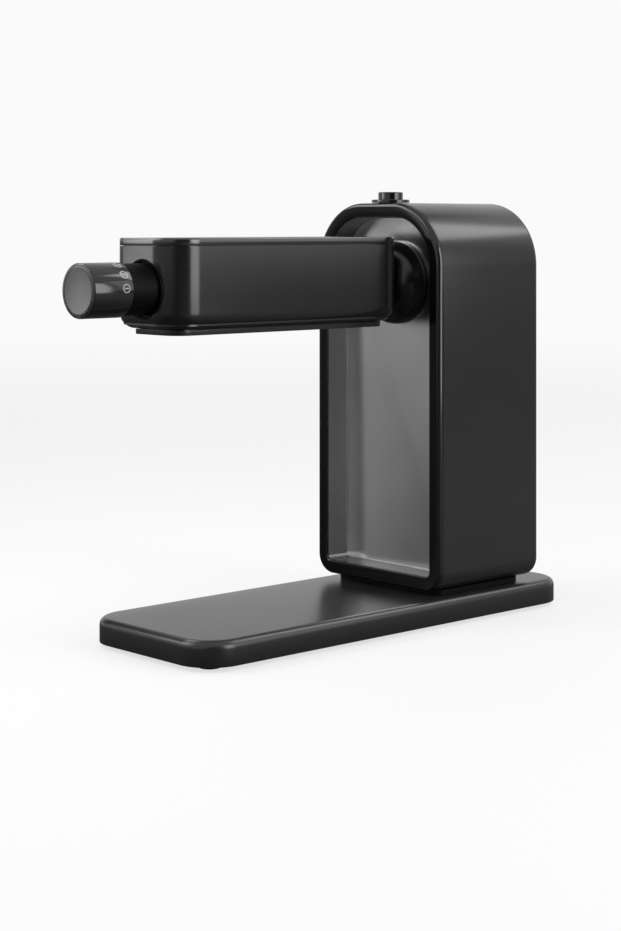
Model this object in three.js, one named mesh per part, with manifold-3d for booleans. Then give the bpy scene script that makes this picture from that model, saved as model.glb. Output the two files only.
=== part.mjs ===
// Electric pasta maker: a motor tower on a weighted base holds out a cutter head with a setting knob.
// Millimetres, +Z up. X runs along the head with the knob at its low end, Y runs across.
// Pieces are drawn with X = 0 at the tower's front rim, and the last lines centre the machine.

import * as THREE from 'three';
import { mergeVertices } from 'three/addons/utils/BufferGeometryUtils.js';
import Module from 'manifold-3d';

const wasm = await Module();
wasm.setup();

// Fits
const gap = 0.3; // between faces that meet
const overrun = 2; // how far a cutter reaches past what it cuts
const filletShare = 0.94; // of the room that a round corner may fill
const roundShare = 0.45; // of a slab's thickness that one rounded edge may fill

// Base
const baseFrontReach = 198.5; // rim to the base's end under the knob
const baseBackReach = 28.5; // tower's back to the base's other end
const baseWidth = 119.5;
const baseHeight = 15.8;
const baseCornerRadius = 24;
const baseTopRound = 5;
const baseWall = 2.6;
const ballastThickness = 3;
const footHeight = 2.8;
const footRadius = 7;
const footInset = 18; // foot centre to the base's edges
const screwInset = 34; // screw centre to the base's ends
const screwHeadRadius = 3.6;
const screwHeadHeight = 1.8;
const screwShankRadius = 1.7;
const bossWall = 2.2;
const plinthHeight = 4;
const plinthInset = 9; // tower's sides to the plinth's
const plinthCornerRadius = 8;
const footBevelShare = 0.25; // of the foot's height

// Tower
const towerWidth = 116.4;
const towerDepth = 100;
const towerHeight = 255.6;
const towerTopRadius = 42;
const towerFootRadius = 13;
const towerWall = 2.8;
const towerBackRound = 5;
const rimBevel = 3.4;
const frameWidth = 9.5; // rim edge to the recess
const frameThickness = 3.9;
const recessDepth = 19.6;
const recessWall = 2;
const panelThickness = 2.4;

// Head, drawn round the drive axis
const axisBelowTop = 53.7; // tower's top to the drive axis
const headLength = 197.7;
const headStandOff = 1; // rim plane to the head's near end
const headWidth = 60;
const headRise = 31.1; // drive axis to the lid's top
const headDrop = 24.6; // drive axis to the casing's underside
const headCornerRadius = 21; // of its upright corners on the photographed side
const headFarCornerRadius = 11;
const headLowRound = 10;
const headWall = 2.4;
const lidThickness = 4.8;
const lidRound = 1.2;
const soleThickness = 3.6;
const soleInset = 9; // casing's sides to the sole plate's, past the round
const soleLip = 3; // of the sole plate under the casing
const soleProud = 3.5; // sole plate below the casing
const slotMargin = 21; // casing's sides to the feed slot and the outlet

// Cutter rollers
const gearBay = 33.1; // rollers' end to the casing's inside at the tower's end
const rollerClearance = 3.8; // rollers to the casing's sides
const cutterOverlap = 2.4; // how far the rings of one roller reach past those of the other
const grooveDepth = 2.8;
const ringCount = 18;
const ringOffsetShares = [0.25, 0.75]; // of the ring pitch: first ring of the fixed and of the moving roller
const ringClearance = 0.45;
const rollerSides = 8;
const rollerShaftShare = 0.32; // of the cutter radius
const endPlateThickness = 3;
const rollerEndPlay = 0.5;
const camRoom = 4.3; // along the knob's axis, between the dial's cup and the far slider
const gapTravel = 1.2; // of the moving roller, over the knob's turn
const sliderThickness = 5.2;
const sliderDropShare = 0.5; // of the cam's radius, below the knob's axis
const bushWall = 2;
const combWidth = 5;
const combHeight = 4;
const combFingerWidth = 3;
const combRootShare = 0.5; // of the bar that its fingers are sunk into

// Setting knob
const knobRadius = 16.6;
const knobLength = 50;
const knobReach = 47.8; // casing's end to the knob's face
const knobRound = 1.6;
const knobFaceRadius = 14.6;
const knobFaceThickness = 1.2;
const knobFloor = 2.4; // behind its face disc
const cupWall = 0.9;
const cupClearance = 0.8;
const cupDepth = 3.6;
const spindleShare = 0.24; // of the cutter radius
const camShare = 0.44; // of the cutter radius
const camSteps = 24;
const knobTurn = THREE.MathUtils.degToRad(240); // nine settings, 30 degrees apart

// Drive socket and collar
const collarRadius = 28.3;
const collarNeckRadius = 19;
const collarBore = 12;
const socketWall = 5;
const inputShaftRadius = 5;
const hexRadius = 4.6;
const hexLength = 9;
const socketReach = 1.8; // of the socket ring past the head's neck
const bushShare = 0.7; // of the drum's length that the bush fills
const pinionBoreShare = 0.648; // of the head pinion's pitch radius

// Gear train
const driveModule = 2;
const fastModule = 1.25;
const driveTeeth = 30;
const idlerPinionTeeth = 11;
const idlerTeeth = 36;
const motorTeeth = 10;
const headPinionTeeth = 12;
const headGearTeeth = 15;
const rollerGearTeeth = 16;
const meshAngle = THREE.MathUtils.degToRad(42.3); // head pinion to the fixed roller, above level
const wideFace = 7; // face width of the drive gear
const narrowFace = 5;
const rollerGearFace = 6;
const gearSpace = 2; // between gears side by side
const sidePlateThickness = 3;
const spindleShaftRadius = 5;
const bearingWall = 4.5;
const idlerPinRadius = 3;
const motorRadius = 26;
const motorWall = 1.6;
const motorShaftRadius = 2.5;
const rotorClearance = 5;
const motorCapThickness = 4;
const plateMargin = 10; // motor's side to the side plates' lower edge

// Button and electrics
const buttonRadius = 8.4;
const buttonProud = 5.1; // above its bezel
const buttonTravel = 1.2; // until it reaches the switch
const buttonLipThickness = 1;
const buttonLip = 0.8;
const bezelRadius = 12.9;
const bezelHeight = 2.4;
const switchHeight = 1;
const switchSide = 17;
const boardThickness = 1.6;
const boardHeight = 62;
const boardRise = 18; // tower's floor to the board
const boardSetback = 30; // panel to the board
const capacitorRadius = 9;
const capacitorHeight = 24;
const inletWidth = 28;
const inletHeight = 20;
const inletLength = 21;
const inletRise = 30; // tower's floor to the inlet's underside
const inletFlange = 3.2;
const inletFlangeThickness = 1.8;
const inletWall = 3.4;
const inletPinRadius = 1.3;
const inletPinPitch = 9;
const inletPinRoot = 1.7; // of a pin in the socket's floor

// Shares of a gear's tooth pitch, and of its module
const rootHalfShare = 0.29;
const tipHalfShare = 0.115;
const tipShare = 0.85;
const rootShare = 1.15;

// Levels and stations worked out from the sizes above
const baseFloor = footHeight;
const baseTop = baseFloor + baseHeight;
const baseEnds = [-baseFrontReach, towerDepth + baseBackReach];
const towerFloor = baseTop + plinthHeight;
const towerTop = towerFloor + towerHeight;
const driveAxis = towerTop - axisBelowTop;
const buttonSetback = frameThickness + buttonLip + buttonRadius + 2 * gap;
const panelFront = recessDepth;
const panelBack = panelFront + panelThickness;
const headNear = -headStandOff;
const headFar = headNear - headLength;
const lidUnder = headRise - lidThickness;
const cutterFar = headFar + cupDepth + camRoom + sliderThickness + 2 * gap + endPlateThickness + rollerEndPlay;
const cutterNear = headNear - headWall - gearBay;
const cutterLength = cutterNear - cutterFar;
const cutterRadius = (headWidth / 2 - headWall - rollerClearance + cutterOverlap / 2) / 2;
const rollerShaftRadius = cutterRadius * rollerShaftShare;
const spindleRadius = cutterRadius * spindleShare;
const camRadius = cutterRadius * camShare;
const slotSides = [slotMargin - headWidth / 2, headWidth / 2 - slotMargin];
const rollerOffset = cutterRadius - cutterOverlap / 2;
const rollerRise = rollerOffset * Math.tan(meshAngle);
const grooveRadius = cutterRadius - grooveDepth;
const farPlate = [cutterFar - rollerEndPlay - endPlateThickness, cutterFar - rollerEndPlay];
const nearPlate = [cutterNear + rollerEndPlay, cutterNear + rollerEndPlay + endPlateThickness];

const axisX = new THREE.Vector3(1, 0, 0);
const axisY = new THREE.Vector3(0, 1, 0);
const axisZ = new THREE.Vector3(0, 0, 1);
const drawnAcross = new THREE.Matrix4().makeBasis(axisY, axisZ, axisX); // outline in Y and Z, drawn out along X
const turnedOnX = new THREE.Matrix4().makeBasis(axisZ, axisX, axisY);
const turnedOnZ = new THREE.Matrix4().makeBasis(axisY, axisZ, axisX);

// Geometry helpers

function facingOut(geometry) {
  const points = geometry.attributes.position;
  const corners = Array.from(geometry.index.array);
  const [a, b, c] = [new THREE.Vector3(), new THREE.Vector3(), new THREE.Vector3()];
  let volume = 0;
  for (let i = 0; i < corners.length; i += 3) {
    a.fromBufferAttribute(points, corners[i]);
    b.fromBufferAttribute(points, corners[i + 1]);
    c.fromBufferAttribute(points, corners[i + 2]);
    volume += a.dot(b.cross(c));
  }
  if (volume < 0) corners.reverse();
  geometry.setIndex(corners);
  return geometry;
}

function closed(geometry) {
  const bare = geometry.clone();
  bare.deleteAttribute('normal');
  bare.deleteAttribute('uv');
  const merged = mergeVertices(bare);
  const corners = merged.index.array;
  const kept = [];
  for (let i = 0; i < corners.length; i += 3) {
    const [a, b, c] = corners.slice(i, i + 3);
    if (a !== b && b !== c && c !== a) kept.push(a, b, c);
  }
  merged.setIndex(kept);
  return facingOut(merged);
}

function toSolid(geometry) {
  const whole = closed(geometry);
  const vertProperties = new Float32Array(whole.attributes.position.array);
  const triVerts = new Uint32Array(whole.index.array);
  return new wasm.Manifold(new wasm.Mesh({ numProp: 3, vertProperties, triVerts }));
}

function toGeometry(solid) {
  const mesh = solid.getMesh();
  const geometry = new THREE.BufferGeometry();
  geometry.setAttribute('position', new THREE.BufferAttribute(new Float32Array(mesh.vertProperties), 3));
  geometry.setIndex(Array.from(mesh.triVerts));
  return geometry;
}

function joined(first, ...others) {
  return toGeometry(others.reduce((solid, other) => solid.add(toSolid(other)), toSolid(first)));
}

function cut(first, ...others) {
  return toGeometry(others.reduce((solid, other) => solid.subtract(toSolid(other)), toSolid(first)));
}

function common(first, second) {
  return toGeometry(toSolid(first).intersect(toSolid(second)));
}

function block([x0, x1], [y0, y1], [z0, z1]) {
  const box = new THREE.BoxGeometry(x1 - x0, y1 - y0, z1 - z0);
  return box.translate((x0 + x1) / 2, (y0 + y1) / 2, (z0 + z1) / 2);
}

// A rectangle from u0 to u1 and v0 to v1 whose lower and upper corners are round
function roundedShape([u0, u1], [v0, v1], lowRadius, highRadius = lowRadius) {
  const room = (Math.min(u1 - u0, v1 - v0) / 2) * filletShare;
  const low = Math.min(lowRadius, room);
  const high = Math.min(highRadius, room);
  const shape = new THREE.Shape();
  shape.absarc(u1 - low, v0 + low, low, -Math.PI / 2, 0, false);
  shape.absarc(u1 - high, v1 - high, high, 0, Math.PI / 2, false);
  shape.absarc(u0 + high, v1 - high, high, Math.PI / 2, Math.PI, false);
  shape.absarc(u0 + low, v0 + low, low, Math.PI, Math.PI * 1.5, false);
  return shape;
}

// A shape drawn out between two stations, with both edges rounded where a round is given
function slab(shape, [from, to], { across = false, round = 0, arcSteps = 5, roundSteps = 2 } = {}) {
  const edge = Math.min(round, (to - from) * roundShare);
  const geometry = new THREE.ExtrudeGeometry(shape, {
    depth: to - from - 2 * edge,
    bevelEnabled: edge > 0,
    bevelThickness: edge,
    bevelSize: edge,
    bevelOffset: -edge,
    bevelSegments: roundSteps,
    curveSegments: arcSteps,
  });
  geometry.translate(0, 0, from + edge);
  return across ? geometry.applyMatrix4(drawnAcross) : geometry;
}

// A body turned on a line along X, its profile given as [radius, x], through the point [y, z]
function turnedX(profile, [y, z] = [0, 0], sides = 16) {
  const points = profile.map(([radius, x]) => new THREE.Vector2(radius, x));
  return new THREE.LatheGeometry(points, sides).applyMatrix4(turnedOnX).translate(0, y, z);
}

// A body turned on an upright line, its profile given as [radius, z], through the point [x, y]
function turnedZ(profile, [x, y] = [0, 0], sides = 16) {
  const points = profile.map(([radius, z]) => new THREE.Vector2(radius, z));
  return new THREE.LatheGeometry(points, sides).applyMatrix4(turnedOnZ).translate(x, y, 0);
}

function rodProfile(radius, [from, to]) {
  return [[0, from], [radius, from], [radius, to], [0, to]];
}

function sleeveProfile(inner, outer, [from, to]) {
  return [[inner, from], [outer, from], [outer, to], [inner, to], [inner, from]];
}

function hexBar(radius, stations) {
  return turnedX(rodProfile(radius, stations), [0, 0], 6);
}

// A straight-flanked gear on a line along X, one tooth centred on the given angle from +Y
function gearWheel(teeth, module, stations, [y, z], toothAngle, bore) {
  const pitchRadius = (teeth * module) / 2;
  const pitchTurn = (2 * Math.PI) / teeth;
  const root = pitchRadius - module * rootShare;
  const tip = pitchRadius + module * tipShare;
  const shape = new THREE.Shape();
  const corners = [[root, -rootHalfShare], [tip, -tipHalfShare], [tip, tipHalfShare], [root, rootHalfShare]];
  const points = [];
  for (let tooth = 0; tooth < teeth; tooth += 1) {
    for (const [radius, share] of corners) {
      const angle = toothAngle + (tooth + share) * pitchTurn;
      points.push(new THREE.Vector2(radius * Math.cos(angle), radius * Math.sin(angle)));
    }
  }
  shape.setFromPoints(points);
  if (bore > 0) shape.holes.push(new THREE.Path().absarc(0, 0, bore, 0, 2 * Math.PI, true));
  return slab(shape, stations, { across: true }).translate(0, y, z);
}

// Materials
const finishes = {
  satinBlack: { color: 0x2a2a2c, roughness: 0.42, metalness: 0 },
  glossBlack: { color: 0x161618, roughness: 0.14, metalness: 0 },
  baseBlack: { color: 0x333335, roughness: 0.38, metalness: 0 },
  rubber: { color: 0x1b1b1b, roughness: 0.85, metalness: 0 },
  darkMetal: { color: 0x6a6b6d, roughness: 0.36, metalness: 1 },
  steel: { color: 0xb9babc, roughness: 0.28, metalness: 1 },
  greenBoard: { color: 0x1f5a3a, roughness: 0.5, metalness: 0 },
  nylon: { color: 0xe6e2d6, roughness: 0.5, metalness: 0 },
  bronze: { color: 0xa6763e, roughness: 0.35, metalness: 1 },
};

function addPiece(group, name, geometry, finish) {
  const whole = closed(geometry);
  whole.computeVertexNormals();
  const mesh = new THREE.Mesh(whole, new THREE.MeshStandardMaterial(finishes[finish]));
  mesh.name = name;
  group.add(mesh);
  return mesh;
}

// Base

function baseShape(inset) {
  const ends = [baseEnds[0] + inset, baseEnds[1] - inset];
  const sides = [-baseWidth / 2 + inset, baseWidth / 2 - inset];
  return roundedShape(ends, sides, Math.max(baseCornerRadius - inset, baseWall));
}

function pairs(inset) {
  const xs = [baseEnds[0] + inset, baseEnds[1] - inset];
  return xs.flatMap((x) => [[x, -baseWidth / 2 + footInset], [x, baseWidth / 2 - footInset]]);
}

function buildBase() {
  const base = new THREE.Group();
  const ballastTop = baseFloor + ballastThickness;
  const screwPlaces = pairs(screwInset);
  const bossRadius = screwShankRadius + bossWall;
  const ceiling = baseTop - baseWall;

  const outside = slab(baseShape(0), [baseFloor - baseTopRound, baseTop], { round: baseTopRound });
  const below = block(
    [baseEnds[0] - overrun, baseEnds[1] + overrun],
    [-baseWidth, baseWidth],
    [baseFloor - baseTopRound - overrun, baseFloor],
  );
  const inside = slab(baseShape(baseWall), [baseFloor - overrun, ceiling], { round: baseTopRound - baseWall });
  const bosses = screwPlaces.map((place) => turnedZ(rodProfile(bossRadius, [ballastTop + gap, ceiling + gap]), place, 8));
  const bossHoles = screwPlaces.map((place) => turnedZ(rodProfile(screwShankRadius + gap, [baseFloor, ceiling - gap]), place, 8));
  const cover = cut(joined(cut(outside, below, inside), ...bosses), ...bossHoles);
  addPiece(base, 'base_cover', cover, 'baseBlack');

  const ballast = slab(baseShape(baseWall + gap), [baseFloor, ballastTop]);
  const headPockets = screwPlaces.map((place) =>
    turnedZ(rodProfile(screwHeadRadius + gap, [baseFloor - overrun, baseFloor + screwHeadHeight + gap]), place, 8));
  const clearHoles = screwPlaces.map((place) =>
    turnedZ(rodProfile(screwShankRadius + gap, [baseFloor, ballastTop + overrun]), place, 8));
  addPiece(base, 'ballast_plate', cut(ballast, ...headPockets, ...clearHoles), 'steel');

  screwPlaces.forEach((place, index) => {
    const screw = [
      [0, baseFloor],
      [screwHeadRadius, baseFloor],
      [screwHeadRadius, baseFloor + screwHeadHeight],
      [screwShankRadius, baseFloor + screwHeadHeight],
      [screwShankRadius, ceiling - 2 * gap],
      [0, ceiling - 2 * gap],
    ];
    addPiece(base, `base_screw_${index + 1}`, turnedZ(screw, place, 8), 'steel');
  });

  const footBevel = footHeight * footBevelShare;
  pairs(footInset).forEach((place, index) => {
    const foot = [
      [0, 0],
      [footRadius - footBevel, 0],
      [footRadius, footBevel],
      [footRadius, footHeight - gap],
      [0, footHeight - gap],
    ];
    addPiece(base, `foot_${index + 1}`, turnedZ(foot, place, 14), 'rubber');
  });

  const plinthShape = roundedShape(
    [plinthInset, towerDepth - plinthInset],
    [-towerWidth / 2 + plinthInset, towerWidth / 2 - plinthInset],
    plinthCornerRadius,
  );
  addPiece(base, 'tower_plinth', slab(plinthShape, [baseTop + gap, towerFloor - gap]), 'satinBlack');
  return base;
}

// Tower

function towerShape(inset) {
  return roundedShape(
    [-towerWidth / 2 + inset, towerWidth / 2 - inset],
    [towerFloor + inset, towerTop - inset],
    Math.max(towerFootRadius - inset, towerWall),
    Math.max(towerTopRadius - inset, towerWall),
  );
}

function inletPlace() {
  const floor = towerFloor + inletRise;
  return { sides: [-inletWidth / 2, inletWidth / 2], levels: [floor, floor + inletHeight] };
}

function widened([from, to], by) {
  return [from - by, to + by];
}

function buildTower() {
  const tower = new THREE.Group();
  const shellFront = frameThickness + gap;
  const backInside = towerDepth - towerWall;
  const { sides, levels } = inletPlace();

  const outside = slab(towerShape(0), [shellFront - towerBackRound - overrun, towerDepth], {
    across: true, round: towerBackRound, arcSteps: 6,
  });
  const ahead = block([-towerDepth, shellFront], [-towerWidth, towerWidth], [0, towerTop + overrun]);
  const inside = slab(towerShape(towerWall), [shellFront - overrun, backInside], { across: true, arcSteps: 6 });
  const inletHole = block([backInside - overrun, towerDepth + overrun], widened(sides, gap), widened(levels, gap));
  const buttonHole = turnedZ(
    rodProfile(buttonRadius + gap, [towerTop - towerWall - overrun, towerTop + overrun]), [buttonSetback, 0], 20);
  addPiece(tower, 'tower_shell', cut(outside, ahead, inside, inletHole, buttonHole), 'satinBlack');

  const rim = slab(towerShape(0), [0, frameThickness + rimBevel + overrun], {
    across: true, round: rimBevel, arcSteps: 6, roundSteps: 2,
  });
  const behindRim = block([frameThickness, towerDepth], [-towerWidth, towerWidth], [0, towerTop + overrun]);
  const tunnel = slab(towerShape(frameWidth - recessWall), [rimBevel, panelFront - gap], { across: true, arcSteps: 6 });
  const recess = slab(towerShape(frameWidth), [-overrun, panelFront + overrun], { across: true, arcSteps: 6 });
  addPiece(tower, 'front_frame', cut(joined(cut(rim, behindRim), tunnel), recess), 'satinBlack');

  const panel = slab(towerShape(frameWidth - recessWall), [panelFront, panelBack], { across: true, arcSteps: 6 });
  const panelHole = turnedX(rodProfile(collarNeckRadius + gap, [panelFront - overrun, panelBack + overrun]), [0, driveAxis], 22);
  addPiece(tower, 'front_panel', cut(panel, panelHole), 'darkMetal');

  const bezel = [
    [buttonRadius + gap, towerTop + gap],
    [bezelRadius, towerTop + gap],
    [bezelRadius, towerTop + bezelHeight - gap],
    [bezelRadius - gap, towerTop + bezelHeight],
    [buttonRadius + gap, towerTop + bezelHeight],
    [buttonRadius + gap, towerTop + gap],
  ];
  addPiece(tower, 'button_bezel', turnedZ(bezel, [buttonSetback, 0], 22), 'glossBlack');

  const lipTop = towerTop - towerWall - gap;
  const lipUnder = lipTop - buttonLipThickness;
  const switchTop = lipUnder - buttonTravel - gap;
  const switchSides = [-switchSide / 2, switchSide / 2];
  addPiece(tower, 'switch_board', block(
    [buttonSetback - switchSide / 2, buttonSetback + switchSide / 2], switchSides, [switchTop - switchHeight, switchTop],
  ), 'greenBoard');

  const button = [
    [0, lipUnder],
    [buttonRadius + buttonLip, lipUnder],
    [buttonRadius + buttonLip, lipTop],
    [buttonRadius, lipTop],
    [buttonRadius, towerTop + bezelHeight + buttonProud - gap],
    [buttonRadius - gap, towerTop + bezelHeight + buttonProud],
    [0, towerTop + bezelHeight + buttonProud],
  ];
  addPiece(tower, 'power_button', turnedZ(button, [buttonSetback, 0], 20), 'glossBlack');

  const inletBody = block([towerDepth - inletLength, towerDepth + gap + inletFlangeThickness], sides, levels);
  const flange = block(
    [towerDepth + gap, towerDepth + gap + inletFlangeThickness], widened(sides, inletFlange), widened(levels, inletFlange));
  const socketFloor = towerDepth - inletLength + inletWall;
  const socket = block([socketFloor, towerDepth * 2], widened(sides, -inletWall), widened(levels, -inletWall));
  const middle = (levels[0] + levels[1]) / 2;
  const pins = [-inletPinPitch / 2, inletPinPitch / 2].map((y) =>
    turnedX(rodProfile(inletPinRadius, [socketFloor - inletPinRoot, towerDepth]), [y, middle], 8));
  addPiece(tower, 'power_inlet', joined(cut(joined(inletBody, flange), socket), ...pins), 'glossBlack');

  const boardFront = panelBack + boardSetback;
  const boardSides = widened([-towerWidth / 2, towerWidth / 2], -towerWall - gap);
  const boardLevels = [towerFloor + boardRise, towerFloor + boardRise + boardHeight];
  const boardBack = boardFront + boardThickness;
  const board = block([boardFront, boardBack], boardSides, boardLevels);
  addPiece(tower, 'control_board', board, 'greenBoard');
  const capacitor = turnedX(rodProfile(capacitorRadius, [boardFront - gap - capacitorHeight, boardFront - gap]), [
    boardSides[0] / 2, (boardLevels[0] + boardLevels[1]) / 2], 16);
  addPiece(tower, 'capacitor', capacitor, 'glossBlack');
  return tower;
}

// Motor and gears, drawn round the drive axis

function buildTrain() {
  const train = new THREE.Group();
  train.position.z = driveAxis;
  const socketStations = [panelBack + gap, panelBack + gap + socketWall + socketReach];
  const frontPlate = [socketStations[1] + gap, socketStations[1] + gap + sidePlateThickness];
  const wideStations = [frontPlate[1] + gearSpace, frontPlate[1] + gearSpace + wideFace];
  const narrowStations = [wideStations[1] + gearSpace, wideStations[1] + gearSpace + narrowFace];
  const backPlate = [narrowStations[1] + gearSpace, narrowStations[1] + gearSpace + sidePlateThickness];
  const idlerLevel = -((driveTeeth + idlerPinionTeeth) * driveModule) / 2;
  const motorLevel = idlerLevel - ((idlerTeeth + motorTeeth) * fastModule) / 2;
  const plateFloor = driveAxis + motorLevel - motorRadius - plateMargin;
  const bearingRadius = spindleShaftRadius + gap + bearingWall;
  const journalRadius = spindleShaftRadius + bearingWall / 2;
  const frontBearingRadius = journalRadius + gap + bearingWall;

  function sidePlate(stations, holes) {
    const whole = slab(towerShape(towerWall + gap), stations, { across: true, arcSteps: 6 });
    const lower = block(widened(stations, overrun), [-towerWidth, towerWidth], [0, plateFloor]);
    const bores = holes.map(([radius, level]) =>
      turnedX(rodProfile(radius + gap, widened(stations, overrun)), [0, driveAxis + level], 16));
    return cut(whole, lower, ...bores).translate(0, 0, -driveAxis);
  }

  addPiece(train, 'socket_ring', turnedX(
    sleeveProfile(collarNeckRadius + gap, collarNeckRadius + gap + socketWall, socketStations), [0, 0], 22), 'darkMetal');
  addPiece(train, 'front_gear_plate', sidePlate(frontPlate, [[frontBearingRadius, 0], [idlerPinRadius, idlerLevel]]), 'steel');
  addPiece(train, 'back_gear_plate', sidePlate(
    backPlate, [[bearingRadius, 0], [idlerPinRadius, idlerLevel], [motorShaftRadius + gap, motorLevel]]), 'steel');
  addPiece(train, 'front_bearing', turnedX(sleeveProfile(journalRadius + gap, frontBearingRadius, frontPlate)), 'bronze');
  addPiece(train, 'back_bearing', turnedX(sleeveProfile(spindleShaftRadius + gap, bearingRadius, backPlate)), 'bronze');
  addPiece(train, 'idler_pin', turnedX(
    rodProfile(idlerPinRadius, [frontPlate[0], backPlate[1]]), [0, idlerLevel], 16), 'steel');

  // The drive spindle ends in a cup whose six-sided socket takes the head's input shaft
  const cupFront = panelBack + gap;
  const cup = [
    [0, cupFront],
    [collarBore - 2 * gap, cupFront],
    [collarBore - 2 * gap, frontPlate[0] - gap],
    [journalRadius, frontPlate[0] - gap],
    [journalRadius, frontPlate[1] + gap],
    [spindleShaftRadius, frontPlate[1] + gap],
    [spindleShaftRadius, backPlate[1]],
    [0, backPlate[1]],
  ];
  const hexHole = hexBar(hexRadius + gap, [cupFront - overrun, cupFront + hexLength + gap]);
  addPiece(train, 'drive_spindle', cut(turnedX(cup), hexHole), 'steel');
  addPiece(train, 'drive_gear', gearWheel(
    driveTeeth, driveModule, wideStations, [0, 0], -Math.PI / 2, spindleShaftRadius + gap), 'nylon');

  const pinion = gearWheel(idlerPinionTeeth, driveModule, widened(wideStations, gap), [0, idlerLevel],
    Math.PI / 2 + Math.PI / idlerPinionTeeth, 0);
  const wheel = gearWheel(idlerTeeth, fastModule, narrowStations, [0, idlerLevel], -Math.PI / 2, 0);
  const hubStations = [wideStations[0], narrowStations[1]];
  const hubRadius = (idlerPinionTeeth * driveModule) / 2 - driveModule * rootShare;
  const hub = turnedX(rodProfile(hubRadius - gap, hubStations), [0, idlerLevel], 20);
  const pinBore = turnedX(rodProfile(idlerPinRadius + gap, widened(hubStations, overrun)), [0, idlerLevel], 16);
  addPiece(train, 'idler_gear', cut(joined(pinion, wheel, hub), pinBore), 'nylon');
  addPiece(train, 'motor_pinion', gearWheel(motorTeeth, fastModule, widened(narrowStations, gap), [0, motorLevel],
    Math.PI / 2 + Math.PI / motorTeeth, motorShaftRadius + gap), 'steel');

  const motorBack = towerDepth - towerWall - gap;
  const canStations = [backPlate[1] + gap, motorBack - motorCapThickness - gap];
  const can = [
    [motorShaftRadius + gap, canStations[0]],
    [motorRadius, canStations[0]],
    [motorRadius, canStations[1]],
    [motorRadius - motorWall, canStations[1]],
    [motorRadius - motorWall, canStations[0] + motorWall],
    [motorShaftRadius + gap, canStations[0] + motorWall],
    [motorShaftRadius + gap, canStations[0]],
  ];
  addPiece(train, 'motor_can', turnedX(can, [0, motorLevel], 20), 'steel');
  const capStations = [canStations[1] + gap, motorBack];
  addPiece(train, 'motor_end_cap', turnedX(rodProfile(motorRadius, capStations), [0, motorLevel], 20), 'glossBlack');
  const coreStations = [canStations[0] + motorWall + rotorClearance / 2, canStations[1] - rotorClearance / 2];
  const coreRadius = motorRadius - motorWall - rotorClearance;
  const rotor = [
    [0, narrowStations[0] - gap],
    [motorShaftRadius, narrowStations[0] - gap],
    [motorShaftRadius, coreStations[0]],
    [coreRadius, coreStations[0]],
    [coreRadius, coreStations[1]],
    [motorShaftRadius, coreStations[1]],
    [motorShaftRadius, canStations[1]],
    [0, canStations[1]],
  ];
  addPiece(train, 'motor_rotor', turnedX(rotor, [0, motorLevel], 20), 'bronze');
  return train;
}

// Head casing, drawn round the drive axis

function headShape(inset) {
  return roundedShape(
    [headFar + inset, headNear - inset],
    [-headWidth / 2 + inset, headWidth / 2 - inset],
    Math.max(headCornerRadius - inset, headWall),
    Math.max(headFarCornerRadius - inset, headWall),
  );
}

function headCavity(clearance) {
  const floor = -headDrop + headWall + clearance;
  return slab(headShape(headWall + clearance), [floor, lidUnder + headLowRound + overrun], { round: headLowRound - headWall });
}

function cutterSpan() {
  return [cutterFar, cutterNear];
}

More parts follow.
